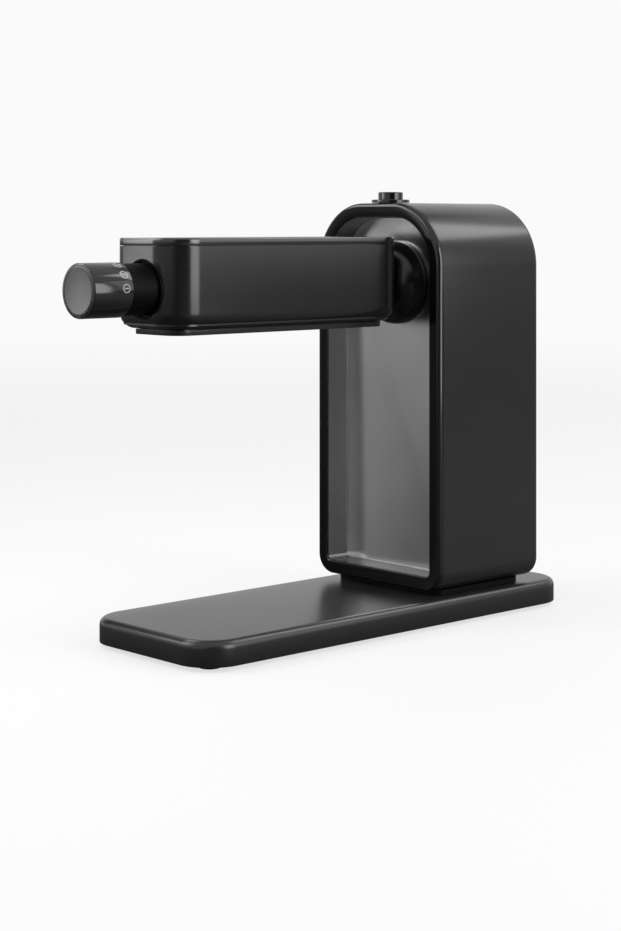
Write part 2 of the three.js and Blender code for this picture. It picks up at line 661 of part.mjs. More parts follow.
function buildCasing() {
  const casing = new THREE.Group();
  casing.position.z = driveAxis;
  const soleFloor = -headDrop - soleProud;

  const outside = slab(headShape(0), [-headDrop, lidUnder + headLowRound + overrun], { round: headLowRound });
  const above = block(widened([headFar, headNear], overrun), [-headWidth, headWidth], [lidUnder - gap, headRise * 2]);
  const soleHole = slab(headShape(soleInset + soleLip), [-headDrop - overrun, -headDrop + headWall + overrun]);
  const cupHole = turnedX(
    rodProfile(knobRadius + cupClearance + cupWall + gap, [headFar - overrun, headFar + headWall + overrun]), [0, 0], 22);
  const shaftHole = turnedX(rodProfile(
    inputShaftRadius + gap + bushWall + gap, [headNear - headWall - overrun, headNear + overrun]), [0, 0], 14);
  addPiece(casing, 'head_casing', cut(outside, above, headCavity(0), soleHole, cupHole, shaftHole), 'satinBlack');

  const soleOutside = slab(headShape(soleInset), [soleFloor, -headDrop - gap]);
  const soleInside = slab(headShape(soleInset + soleLip + gap), [-headDrop - 2 * gap, soleFloor + soleThickness + soleProud]);
  const outlet = block(cutterSpan(), slotSides, [soleFloor - overrun, headDrop]);
  addPiece(casing, 'sole_plate', cut(joined(soleOutside, soleInside), outlet), 'satinBlack');

  const lidTop = slab(headShape(0), [lidUnder - lidRound - overrun, headRise], { round: lidRound, roundSteps: 2 });
  const belowLid = block(widened([headFar, headNear], overrun), [-headWidth, headWidth], [-headDrop, lidUnder]);
  const feedSlot = block(cutterSpan(), slotSides, [lidUnder - overrun, headRise + overrun]);
  addPiece(casing, 'head_lid', cut(lidTop, belowLid, feedSlot), 'glossBlack');

  // Collar: a domed drum whose neck plugs into the tower's socket
  const drumLength = panelFront - gap - headNear - gap;
  const drumStart = headNear + gap;
  const domeShares = [[0.5, 0], [0.78, 0.02], [0.88, 0.12], [0.95, 0.3], [0.985, 0.5], [1, 0.75], [1, 1]];
  const dome = domeShares.map(([radiusShare, lengthShare]) => [
    collarRadius * radiusShare, drumStart + drumLength * lengthShare]);
  const neckEnd = panelBack + socketWall;
  const bushRadius = inputShaftRadius + gap + bushWall;
  const bushEnd = drumStart + drumLength * bushShare;
  const collar = [
    [bushRadius + gap, drumStart],
    ...dome,
    [collarNeckRadius, panelFront - gap],
    [collarNeckRadius, neckEnd],
    [collarBore, neckEnd],
    [collarBore, bushEnd + gap],
    [bushRadius + gap, bushEnd + gap],
    [bushRadius + gap, drumStart],
  ];
  addPiece(casing, 'head_collar', turnedX(collar, [0, 0], 24), 'glossBlack');
  addPiece(casing, 'collar_bush', turnedX(
    sleeveProfile(inputShaftRadius + gap, bushRadius, [headNear - headWall, bushEnd]), [0, 0], 14), 'bronze');

  // End plates follow the inside of the casing
  const moving = [rollerOffset, rollerRise];
  const fixed = [-rollerOffset, rollerRise];
  const plates = [['far_end_plate', farPlate], ['near_end_plate', nearPlate]];
  plates.forEach(([name, stations]) => {
    const fitted = common(headCavity(gap), block(stations, [-headWidth, headWidth], [-headDrop * 2, lidUnder - gap]));
    const sole = block(widened(stations, overrun), [-headWidth, headWidth], [
      -headDrop * 2, soleFloor + soleThickness + soleProud + gap]);
    const bushBore = turnedX(
      rodProfile(rollerShaftRadius + gap + bushWall + gap, widened(stations, overrun)), fixed, 14);
    const reach = rollerShaftRadius + gap;
    const slotShape = roundedShape([moving[0] - reach, moving[0] + gapTravel + reach], [moving[1] - reach, moving[1] + reach], reach);
    const shaftSlot = slab(slotShape, widened(stations, overrun), { across: true });
    const spindleBore = turnedX(rodProfile(spindleRadius + gap, widened(stations, overrun)), [0, 0], 16);
    const cuts = name === 'far_end_plate' ? [sole, bushBore, shaftSlot, spindleBore] : [sole, bushBore, shaftSlot];
    addPiece(casing, name, cut(fitted, ...cuts), 'steel');
    addPiece(casing, name.replace('end_plate', 'roller_bush'), turnedX(
      sleeveProfile(rollerShaftRadius + gap, rollerShaftRadius + gap + bushWall, stations), fixed, 14), 'bronze');
  });

  const cupRadius = knobRadius + cupClearance + cupWall;
  const cup = [
    [spindleRadius + gap, headFar + cupDepth - cupWall],
    [cupRadius - cupWall, headFar + cupDepth - cupWall],
    [cupRadius - cupWall, headFar + gap],
    [cupRadius, headFar + gap],
    [cupRadius, headFar + cupDepth],
    [spindleRadius + gap, headFar + cupDepth],
    [spindleRadius + gap, headFar + cupDepth - cupWall],
  ];
  addPiece(casing, 'dial_cup', turnedX(cup, [0, 0], 22), 'glossBlack');
  return casing;
}

// Cutter rollers, combs and the sliding carrier

function rollerProfile(ringOffsetShare, [shaftFar, shaftNear]) {
  const pitch = cutterLength / ringCount;
  const halfRing = pitch / 4 - ringClearance / 2;
  const profile = [[0, shaftFar], [rollerShaftRadius, shaftFar], [rollerShaftRadius, cutterFar], [grooveRadius, cutterFar]];
  for (let ring = 0; ring < ringCount; ring += 1) {
    const middle = cutterFar + (ring + ringOffsetShare) * pitch;
    profile.push([grooveRadius, middle - halfRing], [cutterRadius, middle - halfRing]);
    profile.push([cutterRadius, middle + halfRing], [grooveRadius, middle + halfRing]);
  }
  profile.push([grooveRadius, cutterNear], [rollerShaftRadius, cutterNear], [rollerShaftRadius, shaftNear], [0, shaftNear]);
  return profile;
}

function buildComb(group, name, y, grooveOffset) {
  const pitch = cutterLength / ringCount;
  const fingerTop = rollerRise - grooveRadius - gap;
  const barTop = rollerRise - cutterRadius - gap;
  const bar = block([farPlate[1] + gap, nearPlate[0] - gap], [y - combWidth / 2, y + combWidth / 2], [barTop - combHeight, barTop]);
  const fingers = [];
  for (let groove = 0; groove < ringCount - 1; groove += 1) {
    const middle = cutterFar + (groove + grooveOffset) * pitch;
    const half = combFingerWidth / 2;
    fingers.push(block([middle - half, middle + half], [y - half, y + half], [barTop - combHeight * combRootShare, fingerTop]));
  }
  addPiece(group, name, joined(bar, ...fingers), 'nylon');
}

function buildRollers() {
  const rollers = new THREE.Group();
  rollers.position.z = driveAxis;
  const farSlider = [farPlate[0] - gap - sliderThickness, farPlate[0] - gap];
  const nearSlider = [nearPlate[1] + gap, nearPlate[1] + gap + sliderThickness];
  const pairStations = [nearSlider[1] + gap, nearSlider[1] + gap + rollerGearFace];
  const inputStations = [pairStations[1] + gearSpace, pairStations[1] + gearSpace + rollerGearFace];
  const fixed = [-rollerOffset, rollerRise];
  const moving = [rollerOffset, rollerRise];
  const inputModule = (2 * rollerOffset) / Math.cos(meshAngle) / (headPinionTeeth + headGearTeeth);
  const pinionBore = ((headPinionTeeth * inputModule) / 2) * pinionBoreShare;
  const pairModule = (2 * rollerOffset) / rollerGearTeeth;
  const gearBore = rollerShaftRadius + gap;
  const toFixed = Math.PI - meshAngle;

  const [fixedOffset, movingOffset] = ringOffsetShares;
  const fixedProfile = rollerProfile(fixedOffset, [farSlider[0], inputStations[1]]);
  const movingProfile = rollerProfile(movingOffset, [farSlider[0], pairStations[1]]);
  addPiece(rollers, 'fixed_roller', turnedX(fixedProfile, fixed, rollerSides), 'steel');
  addPiece(rollers, 'moving_roller', turnedX(movingProfile, moving, rollerSides), 'steel');
  addPiece(rollers, 'fixed_roller_gear', gearWheel(rollerGearTeeth, pairModule, pairStations, fixed, 0, gearBore), 'nylon');
  addPiece(rollers, 'moving_roller_gear', gearWheel(
    rollerGearTeeth, pairModule, pairStations, moving, Math.PI + Math.PI / rollerGearTeeth, gearBore), 'nylon');
  addPiece(rollers, 'head_gear', gearWheel(
    headGearTeeth, inputModule, inputStations, fixed, toFixed + Math.PI + Math.PI / headGearTeeth, gearBore), 'nylon');
  addPiece(rollers, 'head_pinion', gearWheel(
    headPinionTeeth, inputModule, inputStations, [0, 0], toFixed, pinionBore), 'steel');

  const stepRadius = pinionBore - gap;
  const shaft = [
    [0, inputStations[0]],
    [stepRadius, inputStations[0]],
    [stepRadius, inputStations[1] + gap],
    [inputShaftRadius, inputStations[1] + gap],
    [inputShaftRadius, panelBack],
    [0, panelBack],
  ];
  const hex = hexBar(hexRadius, [panelBack - overrun, panelBack + hexLength]);
  addPiece(rollers, 'input_shaft', joined(turnedX(shaft, [0, 0], 14), hex), 'steel');

  buildComb(rollers, 'fixed_comb', fixed[0], movingOffset);
  buildComb(rollers, 'moving_comb', moving[0], fixedOffset + 1);

  const sliderSides = [camRadius + gap, rollerOffset + rollerShaftRadius + gap + bushWall];
  const sliderReach = rollerShaftRadius + gap + bushWall;
  const sliderLevels = [-camRadius * sliderDropShare, rollerRise + sliderReach];
  [['far_slider', farSlider], ['near_slider', nearSlider]].forEach(([name, stations]) => {
    const bore = turnedX(rodProfile(rollerShaftRadius + gap, widened(stations, overrun)), moving, 16);
    addPiece(rollers, name, cut(block(stations, sliderSides, sliderLevels), bore), 'nylon');
  });

  // The cam's radius grows steadily over the knob's turn, with a level stretch before and after it
  const camPoints = [];
  for (let step = 0; step <= camSteps; step += 1) {
    const angle = (step / camSteps) * 2 * Math.PI - (2 * Math.PI - knobTurn) / 2;
    const radius = camRadius + gapTravel * THREE.MathUtils.clamp(angle / knobTurn, 0, 1);
    camPoints.unshift(new THREE.Vector2(radius * Math.cos(angle), -radius * Math.sin(angle)));
  }
  const camShape = new THREE.Shape(camPoints);
  camShape.holes.push(new THREE.Path().absarc(0, 0, spindleRadius + gap, 0, 2 * Math.PI, true));
  const camStations = [headFar + cupDepth + gap, farPlate[0] - gap];
  addPiece(rollers, 'setting_cam', slab(camShape, camStations, { across: true }), 'nylon');
  return rollers;
}

function buildKnob() {
  const knob = new THREE.Group();
  knob.position.z = driveAxis;
  const face = headFar - knobReach;
  const skirtEnd = face + knobLength;
  const boreEnd = face + knobFaceThickness + knobFloor;
  const rimRadius = knobFaceRadius + gap;
  const body = [
    [spindleRadius + gap, boreEnd],
    [0, boreEnd],
    [0, face + knobFaceThickness + gap],
    [rimRadius, face + knobFaceThickness + gap],
    [rimRadius, face + gap],
    [knobRadius - knobRound, face + gap],
    [knobRadius, face + knobRound + gap],
    [knobRadius, skirtEnd],
    [spindleRadius + gap, skirtEnd],
    [spindleRadius + gap, boreEnd],
  ];
  addPiece(knob, 'setting_knob', turnedX(body, [0, 0], 24), 'glossBlack');
  const disc = [
    [0, face],
    [knobFaceRadius - gap, face],
    [knobFaceRadius, face + gap],
    [knobFaceRadius, face + knobFaceThickness],
    [0, face + knobFaceThickness],
  ];
  addPiece(knob, 'knob_disc', turnedX(disc, [0, 0], 24), 'darkMetal');
  addPiece(knob, 'knob_spindle', turnedX(rodProfile(spindleRadius, [boreEnd + gap, farPlate[1]]), [0, 0], 16), 'steel');
  return knob;
}

const machine = new THREE.Group();
machine.name = 'pasta_maker';
machine.add(buildBase(), buildTower(), buildTrain(), buildCasing(), buildRollers(), buildKnob());

// The origin lies on the floor, midway between the knob's face and the base's far end
machine.position.x = -(headFar - knobReach + baseEnds[1]) / 2;
machine.updateMatrixWorld(true);

export default machine;
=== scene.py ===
"""An electric pasta maker in black plastic, dressed around its packed construction. Metres, +Z up."""

import math

import bmesh
import bpy
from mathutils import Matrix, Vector


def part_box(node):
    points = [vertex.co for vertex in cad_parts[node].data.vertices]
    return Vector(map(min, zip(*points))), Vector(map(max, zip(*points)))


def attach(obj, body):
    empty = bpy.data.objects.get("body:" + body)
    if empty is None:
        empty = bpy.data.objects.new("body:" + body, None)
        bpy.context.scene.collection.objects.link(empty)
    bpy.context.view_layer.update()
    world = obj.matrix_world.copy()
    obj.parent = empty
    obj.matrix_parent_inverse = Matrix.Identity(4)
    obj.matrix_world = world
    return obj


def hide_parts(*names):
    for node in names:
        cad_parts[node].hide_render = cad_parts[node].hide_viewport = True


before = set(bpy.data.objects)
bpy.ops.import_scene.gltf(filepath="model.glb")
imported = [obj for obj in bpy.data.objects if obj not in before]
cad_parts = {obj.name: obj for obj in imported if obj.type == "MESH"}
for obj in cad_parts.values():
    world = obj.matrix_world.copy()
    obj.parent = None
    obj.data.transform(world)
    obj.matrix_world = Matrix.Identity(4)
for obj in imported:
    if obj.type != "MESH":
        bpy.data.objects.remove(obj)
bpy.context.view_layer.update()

MM = 0.001
NEAR = 0.00002  # two places closer than this are the same
WELD = NEAR / 10
X, Y, Z = 0, 1, 2
UNIT = (Vector((1, 0, 0)), Vector((0, 1, 0)), Vector((0, 0, 1)))
SMOOTH_BELOW = 35  # degrees between faces that are shaded as one surface
PAST = 1 * MM  # how far a cutting tool stands out of the face it cuts

# Sides of turned pieces, by their size
LARGE_TURN = 128
MIDDLE_TURN = 96
HOLE_TURN = 64
SMALL_TURN = 48
RING_TURN = 40
PIN_TURN = 20

TOP_CORNER = 42 * MM  # tower's upper corners
FOOT_CORNER = 13 * MM  # tower's lower corners
TOWER_CORNER_STEPS = 24
TOWER_BACK_ROUND = 5 * MM
SHELL_WALL = 2.8 * MM
RIM_DEPTH = 3.9 * MM
RIM_BEVEL = 3.4 * MM
FRAME_WIDTH = 9.5 * MM  # rim's edge to the recess
RECESS_WALL = 2 * MM
RIM_LIP = 1.6 * MM  # rim's inner edge ahead of the recess tray
TRAY_WALL = 1 * MM
TRAY_GAP = 0.1 * MM  # round the tray and ahead of it
BUTTON_HOLE = 8.7 * MM  # radius
NECK_HOLE = 19.3 * MM  # radius
HEAD_CORNER = 21 * MM  # on the photographed side
HEAD_FAR_CORNER = 11 * MM
HEAD_CORNER_STEPS = 18
HEAD_LOW_ROUND = 10 * MM
HEAD_WALL = 2.4 * MM
BASE_CORNER = 24 * MM
BASE_TOP_ROUND = 5 * MM
BASE_LOW_ROUND = 0.5 * MM
BASE_WALL = 2.6 * MM
CUTTER_ENDS = (-122.5 * MM, 22.5 * MM)  # of the rollers' rings, the feed slot and the outlet
SLOT_HALF = 9 * MM
SHAFT_HOLE = 7.6 * MM  # radius in the casing and the collar
SPINDLE_BORE = 3.3 * MM  # radius in the knob's pieces and the dial well


# Modelling by hand: selection, primitives and edit mode steps


def make_active(piece):
    if bpy.context.object and bpy.context.object.mode != "OBJECT":
        bpy.ops.object.mode_set(mode="OBJECT")
    bpy.ops.object.select_all(action="DESELECT")
    piece.select_set(True)
    bpy.context.view_layer.objects.active = piece


def settle(piece, name):
    """Names a new primitive and puts its place into its mesh."""
    piece.name = name
    piece.data.name = name
    make_active(piece)
    bpy.ops.object.transform_apply(location=True, rotation=True, scale=True)
    return piece


def edit(piece):
    make_active(piece)
    bpy.ops.object.mode_set(mode="EDIT")


def leave_edit():
    bpy.ops.object.mode_set(mode="OBJECT")


def pick(piece, kind, test):
    """Selects the vertices, edges or faces that pass the test."""
    bpy.ops.mesh.select_mode(type=kind)
    bpy.ops.mesh.select_all(action="DESELECT")
    shape = bmesh.from_edit_mesh(piece.data)
    for part in {"VERT": shape.verts, "EDGE": shape.edges, "FACE": shape.faces}[kind]:
        if test(part):
            part.select_set(True)
    shape.select_flush_mode()
    bmesh.update_edit_mesh(piece.data)


def pick_every_face():
    bpy.ops.mesh.select_mode(type="FACE")
    bpy.ops.mesh.select_all(action="SELECT")


def lies_at(part, axis, value):
    return all(abs(corner.co[axis] - value) < NEAR for corner in part.verts)


def runs_along(edge, axis):
    span = edge.verts[0].co - edge.verts[1].co
    return abs(span[axis]) > 0.9 * span.length


def bevel(width, steps):
    bpy.ops.mesh.bevel(
        offset_type="OFFSET", offset=width, segments=steps, affect="EDGES", clamp_overlap=False
    )


def inset_faces(width):
    bpy.ops.mesh.inset(thickness=width, depth=0)


def draw_faces(axis, reach):
    bpy.ops.mesh.extrude_region_move(TRANSFORM_OT_translate={"value": UNIT[axis] * reach})


def close_shape():
    """Turns every face of the piece in edit mode outwards and ends the edit."""
    bpy.ops.mesh.select_all(action="SELECT")
    bpy.ops.mesh.normals_make_consistent(inside=False)
    leave_edit()


def block(name, low, high):
    low, high = Vector(low), Vector(high)
    bpy.ops.object.select_all(action="DESELECT")
    bpy.ops.mesh.primitive_cube_add(size=1, location=(low + high) / 2, scale=high - low)
    return settle(bpy.context.object, name)


def rounded_block(name, low, high, axis, radius, low_radius=None, steps=8):
    """A block whose edges along one axis are round.

    The lower ones, or for an upright block those on the photographed side, may have their own radius."""
    piece = block(name, low, high)
    split = Y if axis == Z else Z
    edit(piece)
    if low_radius is None:
        pick(piece, "EDGE", lambda edge: runs_along(edge, axis))
        bevel(radius, steps)
    else:
        for value, size in ((high[split], radius), (low[split], low_radius)):
            pick(piece, "EDGE", lambda edge: runs_along(edge, axis) and lies_at(edge, split, value))
            bevel(size, steps)
    leave_edit()
    return piece


def soften_rim(piece, axis, value, width, steps, inside=None):
    """Rounds the edges that lie in one plane, or those of them that pass a test."""
    edit(piece)
    pick(piece, "EDGE", lambda edge: lies_at(edge, axis, value) and (inside is None or inside(edge)))
    bevel(width, steps)
    leave_edit()


def step_face(piece, axis, value, wall, reach):
    """Sinks or raises the face in one plane by the reach, leaving a border of the wall's width."""
    edit(piece)
    pick(piece, "FACE", lambda face: lies_at(face, axis, value))
    inset_faces(wall)
    draw_faces(axis, reach)
    leave_edit()


def combine(piece, tool, operation="DIFFERENCE"):
    """Cuts another block or drum out of a piece, or joins it on."""
    change = piece.modifiers.new("combine", "BOOLEAN")
    change.operation = operation
    change.solver = "EXACT"
    change.object = tool
    make_active(piece)
    bpy.ops.object.modifier_apply(modifier=change.name)
    bpy.data.objects.remove(tool)


def disc(name, radius, sides, place, turn=(0, 0, 0)):
    bpy.ops.object.select_all(action="DESELECT")
    bpy.ops.mesh.primitive_circle_add(
        vertices=sides, radius=radius, fill_type="NGON", location=place, rotation=turn
    )
    return settle(bpy.context.object, name)


def drum(name, axis, centre, profile, sides):
    """A turned piece: a disc is drawn out along the axis and resized at each point (radius, station).

    A profile that ends where it starts makes a ring with a bore."""
    turn = (0, math.pi / 2, 0) if axis == X else (0, 0, 0)
    centre = Vector(centre)
    centre[axis] = 0
    radius, station = profile[0]
    piece = disc(name, radius, sides, centre + UNIT[axis] * station, turn)
    edit(piece)
    pick_every_face()
    for next_radius, next_station in profile[1:]:
        draw_faces(axis, next_station - station)
        scale = [next_radius / radius] * 3
        scale[axis] = 1
        bpy.ops.transform.resize(value=scale, center_override=centre + UNIT[axis] * next_station)
        radius, station = next_radius, next_station
    if profile[0] == profile[-1]:
        pick(piece, "FACE", lambda face: len(face.verts) == sides)
        bpy.ops.mesh.delete(type="ONLY_FACE")
        bpy.ops.mesh.select_all(action="SELECT")
        bpy.ops.mesh.remove_doubles(threshold=WELD)
    close_shape()
    return piece


def cut_bore(piece, name, axis, centre, radius, start, stop, sides):
    combine(piece, drum(name, axis, centre, [(radius, start), (radius, stop)], sides))


def arc(radius, station, size, start, stop, steps):
    """Profile points of a round: centre (radius, station), from angle start to stop in degrees."""
    points = []
    for step in range(steps + 1):
        angle = math.radians(start + (stop - start) * step / steps)
        points.append((radius + size * math.cos(angle), station + size * math.sin(angle)))
    return points


def place_of(name):
    """The corners of a CAD node's box."""
    low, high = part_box(name)
    return Vector(low), Vector(high)


def centre_of(name):
    low, high = place_of(name)
    return (low + high) / 2


def turned_place(name, axis):
    """The corners of a turned CAD node's box, its centre and its radius."""
    low, high = place_of(name)
    across = X if axis == Z else Z
    return low, high, (low + high) / 2, (high[across] - low[across]) / 2


def finish_piece(piece, material, body, slot, *nodes):
    """Shades a piece, gives it its material and seats it on its body in place of its CAD nodes."""
    make_active(piece)
    bpy.ops.object.shade_smooth_by_angle(angle=math.radians(SMOOTH_BELOW))
    piece.data.materials.clear()
    piece.data.materials.append(material)
    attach(piece, body)
    if nodes:
        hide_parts(*nodes)


def refinish(piece, material, test):
    """Gives the faces that pass the test one more material."""
    piece.data.materials.append(material)
    edit(piece)
    pick(piece, "FACE", test)
    piece.active_material_index = len(piece.data.materials) - 1
    bpy.ops.object.material_slot_assign()
    leave_edit()


# Shader nodes


def node(tree, kind, **values):
    made = tree.nodes.new(kind)
    for key, value in values.items():
        setattr(made, key, value)
    return made


def feed(tree, value, socket):
    """Links an output to a socket, or sets the socket to a plain value."""
    if isinstance(value, bpy.types.NodeSocket):
        tree.links.new(value, socket)
    else:
        socket.default_value = value


def noise(tree, vector, scale, detail, roughness=0.5):
    made = node(tree, "ShaderNodeTexNoise")
    feed(tree, vector, made.inputs["Vector"])
    feed(tree, scale, made.inputs["Scale"])
    feed(tree, detail, made.inputs["Detail"])
    feed(tree, roughness, made.inputs["Roughness"])
    return made.outputs["Fac"]


def sum_up(tree, operation, first, second, clamp=False):
    made = node(tree, "ShaderNodeMath", operation=operation, use_clamp=clamp)
    feed(tree, first, made.inputs[0])
    feed(tree, second, made.inputs[1])
    return made.outputs["Value"]


def mix(tree, kind, factor, first, second):
    made = node(tree, "ShaderNodeMix", data_type=kind)
    feed(tree, factor, made.inputs["Factor"])
    feed(tree, first, made.inputs["A"])
    feed(tree, second, made.inputs["B"])
    return made.outputs["Result"]


def length_of(tree, vector):
    made = node(tree, "ShaderNodeVectorMath", operation="LENGTH")
    tree.links.new(vector, made.inputs[0])
    return made.outputs["Value"]


def reach_along(tree, vector, direction):
    made = node(tree, "ShaderNodeVectorMath", operation="DOT_PRODUCT")
    tree.links.new(vector, made.inputs[0])
    made.inputs[1].default_value = direction
    return made.outputs["Value"]


def fade(tree, value, start, stop, low=0.0, high=1.0):
    """Goes softly from low to high while the value goes from start to stop."""
    made = node(tree, "ShaderNodeMapRange", interpolation_type="SMOOTHSTEP")
    made.inputs["From Min"].default_value = start
    made.inputs["From Max"].default_value = stop
    made.inputs["To Min"].default_value = low
    made.inputs["To Max"].default_value = high
    tree.links.new(value, made.inputs["Value"])
    return made.outputs["Result"]


# Shader node groups

VECTOR_IN = ("Vector", "vector", None)
GRAIN_SCALE = 2600
WAVE_SCALE = 14
SMEAR_SCALE = 38
STREAK_STRETCH = (90, 1500, 1500)
STAIN_SCALE = 45


def new_group(name, inputs, outputs):
    """An empty shader node group with named sockets, as (group, its input node, its output node)."""
    group = bpy.data.node_groups.new(name, "ShaderNodeTree")
    kinds = {"value": "NodeSocketFloat", "colour": "NodeSocketColor", "vector": "NodeSocketVector"}
    for label, kind, default in inputs:
        socket = group.interface.new_socket(name=label, in_out="INPUT", socket_type=kinds[kind])
        if default is not None:
            socket.default_value = default
    for label, kind in outputs:
        group.interface.new_socket(name=label, in_out="OUTPUT", socket_type=kinds[kind])
    return group, group.nodes.new("NodeGroupInput"), group.nodes.new("NodeGroupOutput")


def varied(tree, middle, first, second, spread):
    """A middle value that two patterns together move up and down by the spread."""
    swing = sum_up(tree, "SUBTRACT", sum_up(tree, "ADD", first, second), 1.0)
    return sum_up(tree, "ADD", middle, sum_up(tree, "MULTIPLY", swing, spread), clamp=True)


def build_moulded_skin():
    """Fine spark-eroded grain, slow waviness and faint handling marks of a moulded part."""
    levels = [("Roughness", "value", 0.3), ("Grain", "value", 1.0), ("Marks", "value", 0.05)]
    results = [("Roughness", "value"), ("Height", "value")]
    group, into, out = new_group("moulded_skin", [VECTOR_IN, *levels], results)
    place = into.outputs["Vector"]
    grain = noise(group, place, GRAIN_SCALE, detail=2)
    waves = noise(group, place, WAVE_SCALE, detail=1)
    smears = noise(group, place, SMEAR_SCALE, detail=5, roughness=0.62)
    rough = varied(group, into.outputs["Roughness"], smears, grain, into.outputs["Marks"])
    height = sum_up(group, "ADD", sum_up(group, "MULTIPLY", grain, into.outputs["Grain"]), waves)
    group.links.new(rough, out.inputs["Roughness"])
    group.links.new(height, out.inputs["Height"])
    return group


def build_tonal_drift():
    """Breaks one colour into two close ones by a soft pattern."""
    inputs = [VECTOR_IN, ("Scale", "value", 20.0), ("Dark", "colour", None), ("Light", "colour", None)]
    group, into, out = new_group("tonal_drift", inputs, [("Colour", "colour")])
    pattern = noise(group, into.outputs["Vector"], into.outputs["Scale"], detail=3)
    blend = mix(group, "RGBA", pattern, into.outputs["Dark"], into.outputs["Light"])
    group.links.new(blend, out.inputs["Colour"])
    return group


def build_machined_streaks():
    """Long fine grinding marks, and their change of roughness, on a cut or ground metal."""
    levels = [("Roughness", "value", 0.3), ("Spread", "value", 0.1)]
    results = [("Roughness", "value"), ("Height", "value")]
    group, into, out = new_group("machined_streaks", [VECTOR_IN, *levels], results)
    stretch = node(group, "ShaderNodeMapping", vector_type="POINT")
    stretch.inputs["Scale"].default_value = STREAK_STRETCH
    group.links.new(into.outputs["Vector"], stretch.inputs["Vector"])
    streaks = noise(group, stretch.outputs["Vector"], scale=1, detail=3, roughness=0.6)
    stains = noise(group, into.outputs["Vector"], STAIN_SCALE, detail=3)
    rough = varied(group, into.outputs["Roughness"], streaks, stains, into.outputs["Spread"])
    group.links.new(rough, out.inputs["Roughness"])
    group.links.new(streaks, out.inputs["Height"])
    return group


MOULDED_SKIN = build_moulded_skin()
TONAL_DRIFT = build_tonal_drift()
MACHINED_STREAKS = build_machined_streaks()


# Materials


def new_material(name):
    """A material, as (material, its node tree, its shader, the object coordinates)."""
    material = bpy.data.materials.new(name)
    material.use_nodes = True
    tree = material.node_tree
    place = node(tree, "ShaderNodeTexCoord").outputs["Object"]
    return material, tree, tree.nodes["Principled BSDF"], place


def use_group(tree, group, place, values):
    made = node(tree, "ShaderNodeGroup", node_tree=group)
    tree.links.new(place, made.inputs["Vector"])
    for label, value in values.items():
        made.inputs[label].default_value = value
    return made.outputs


def use_bump(tree, shader, height, depth, strength=1.0):
    bump = node(tree, "ShaderNodeBump")
    bump.inputs["Strength"].default_value = strength
    bump.inputs["Distance"].default_value = depth
    tree.links.new(height, bump.inputs["Height"])
    tree.links.new(bump.outputs["Normal"], shader.inputs["Normal"])


def colour_pair(colour, spread):
    dark = [max(channel * (1 - spread), 0) for channel in colour]
    light = [min(channel * (1 + spread), 1) for channel in colour]
    return (*dark, 1), (*light, 1)


def use_drift(tree, shader, place, colour, spread, scale):
    dark, light = colour_pair(colour, spread)
    drift = use_group(tree, TONAL_DRIFT, place, {"Scale": scale, "Dark": dark, "Light": light})
    tree.links.new(drift["Colour"], shader.inputs["Base Color"])


def use_skin(tree, shader, place, roughness, grain, marks, depth):
    skin = use_group(tree, MOULDED_SKIN, place, {"Roughness": roughness, "Grain": grain, "Marks": marks})
    tree.links.new(skin["Roughness"], shader.inputs["Roughness"])
    use_bump(tree, shader, skin["Height"], depth)


def plastic(name, colour, roughness, grain, marks, depth=0.000004, metallic=0.0, specular=0.5):
    material, tree, shader, place = new_material(name)
    use_drift(tree, shader, place, colour, spread=0.12, scale=30)
    use_skin(tree, shader, place, roughness, grain, marks, depth)
    shader.inputs["Metallic"].default_value = metallic
    shader.inputs["Specular IOR Level"].default_value = specular
    return material


def turned_metal(name, colour, roughness, axis, centre):
    """Metal with fine turning rings round an axis through the centre."""
    rings_per_metre = 900
    material, tree, shader, place = new_material(name)
    use_drift(tree, shader, place, colour, spread=0.08, scale=60)
    mapping = node(tree, "ShaderNodeMapping", vector_type="POINT")
    mapping.inputs["Location"].default_value = [-value for value in centre]
    flat = [1, 1, 1]
    flat[axis] = 0
    mapping.inputs["Scale"].default_value = flat
    tree.links.new(place, mapping.inputs["Vector"])
    from_axis = length_of(tree, mapping.outputs["Vector"])
    rings = sum_up(tree, "SINE", sum_up(tree, "MULTIPLY", from_axis, rings_per_metre * 2 * math.pi), 0)
    fine = noise(tree, place, scale=1800, detail=2)
    spread = 0.12
    lowest = roughness - spread / 2
    rough = sum_up(tree, "ADD", sum_up(tree, "MULTIPLY", fine, spread), lowest, clamp=True)
    tree.links.new(rough, shader.inputs["Roughness"])
    use_bump(tree, shader, sum_up(tree, "ADD", rings, fine), depth=0.000004, strength=0.6)
    shader.inputs["Metallic"].default_value = 1
    return material


def ground_metal(name, colour, roughness, spread, depth):
    material, tree, shader, place = new_material(name)
    use_drift(tree, shader, place, colour, spread=0.1, scale=55)
    streaks = use_group(tree, MACHINED_STREAKS, place, {"Roughness": roughness, "Spread": spread})
    tree.links.new(streaks["Roughness"], shader.inputs["Roughness"])
    use_bump(tree, shader, streaks["Height"], depth)
    shader.inputs["Metallic"].default_value = 1
    return material


def solder_mask(name, colour, copper):
    """Green laminate with lighter tracks that run square to each other under the mask."""
    material, tree, shader, place = new_material(name)
    dark, light = colour_pair(colour, spread=0.1)
    tracks = node(tree, "ShaderNodeTexBrick", offset=0.35, squash=0.6)
    tracks.inputs["Color1"].default_value = dark
    tracks.inputs["Color2"].default_value = light
    tracks.inputs["Mortar"].default_value = (*copper, 1)
    tracks.inputs["Scale"].default_value = 90
    tracks.inputs["Mortar Size"].default_value = 0.05
    tree.links.new(place, tracks.inputs["Vector"])
    tree.links.new(tracks.outputs["Color"], shader.inputs["Base Color"])
    use_skin(tree, shader, place, roughness=0.3, grain=0.3, marks=0.05, depth=0.000003)
    return material


# Finishes: plastics have a colour, roughness, grain and marks

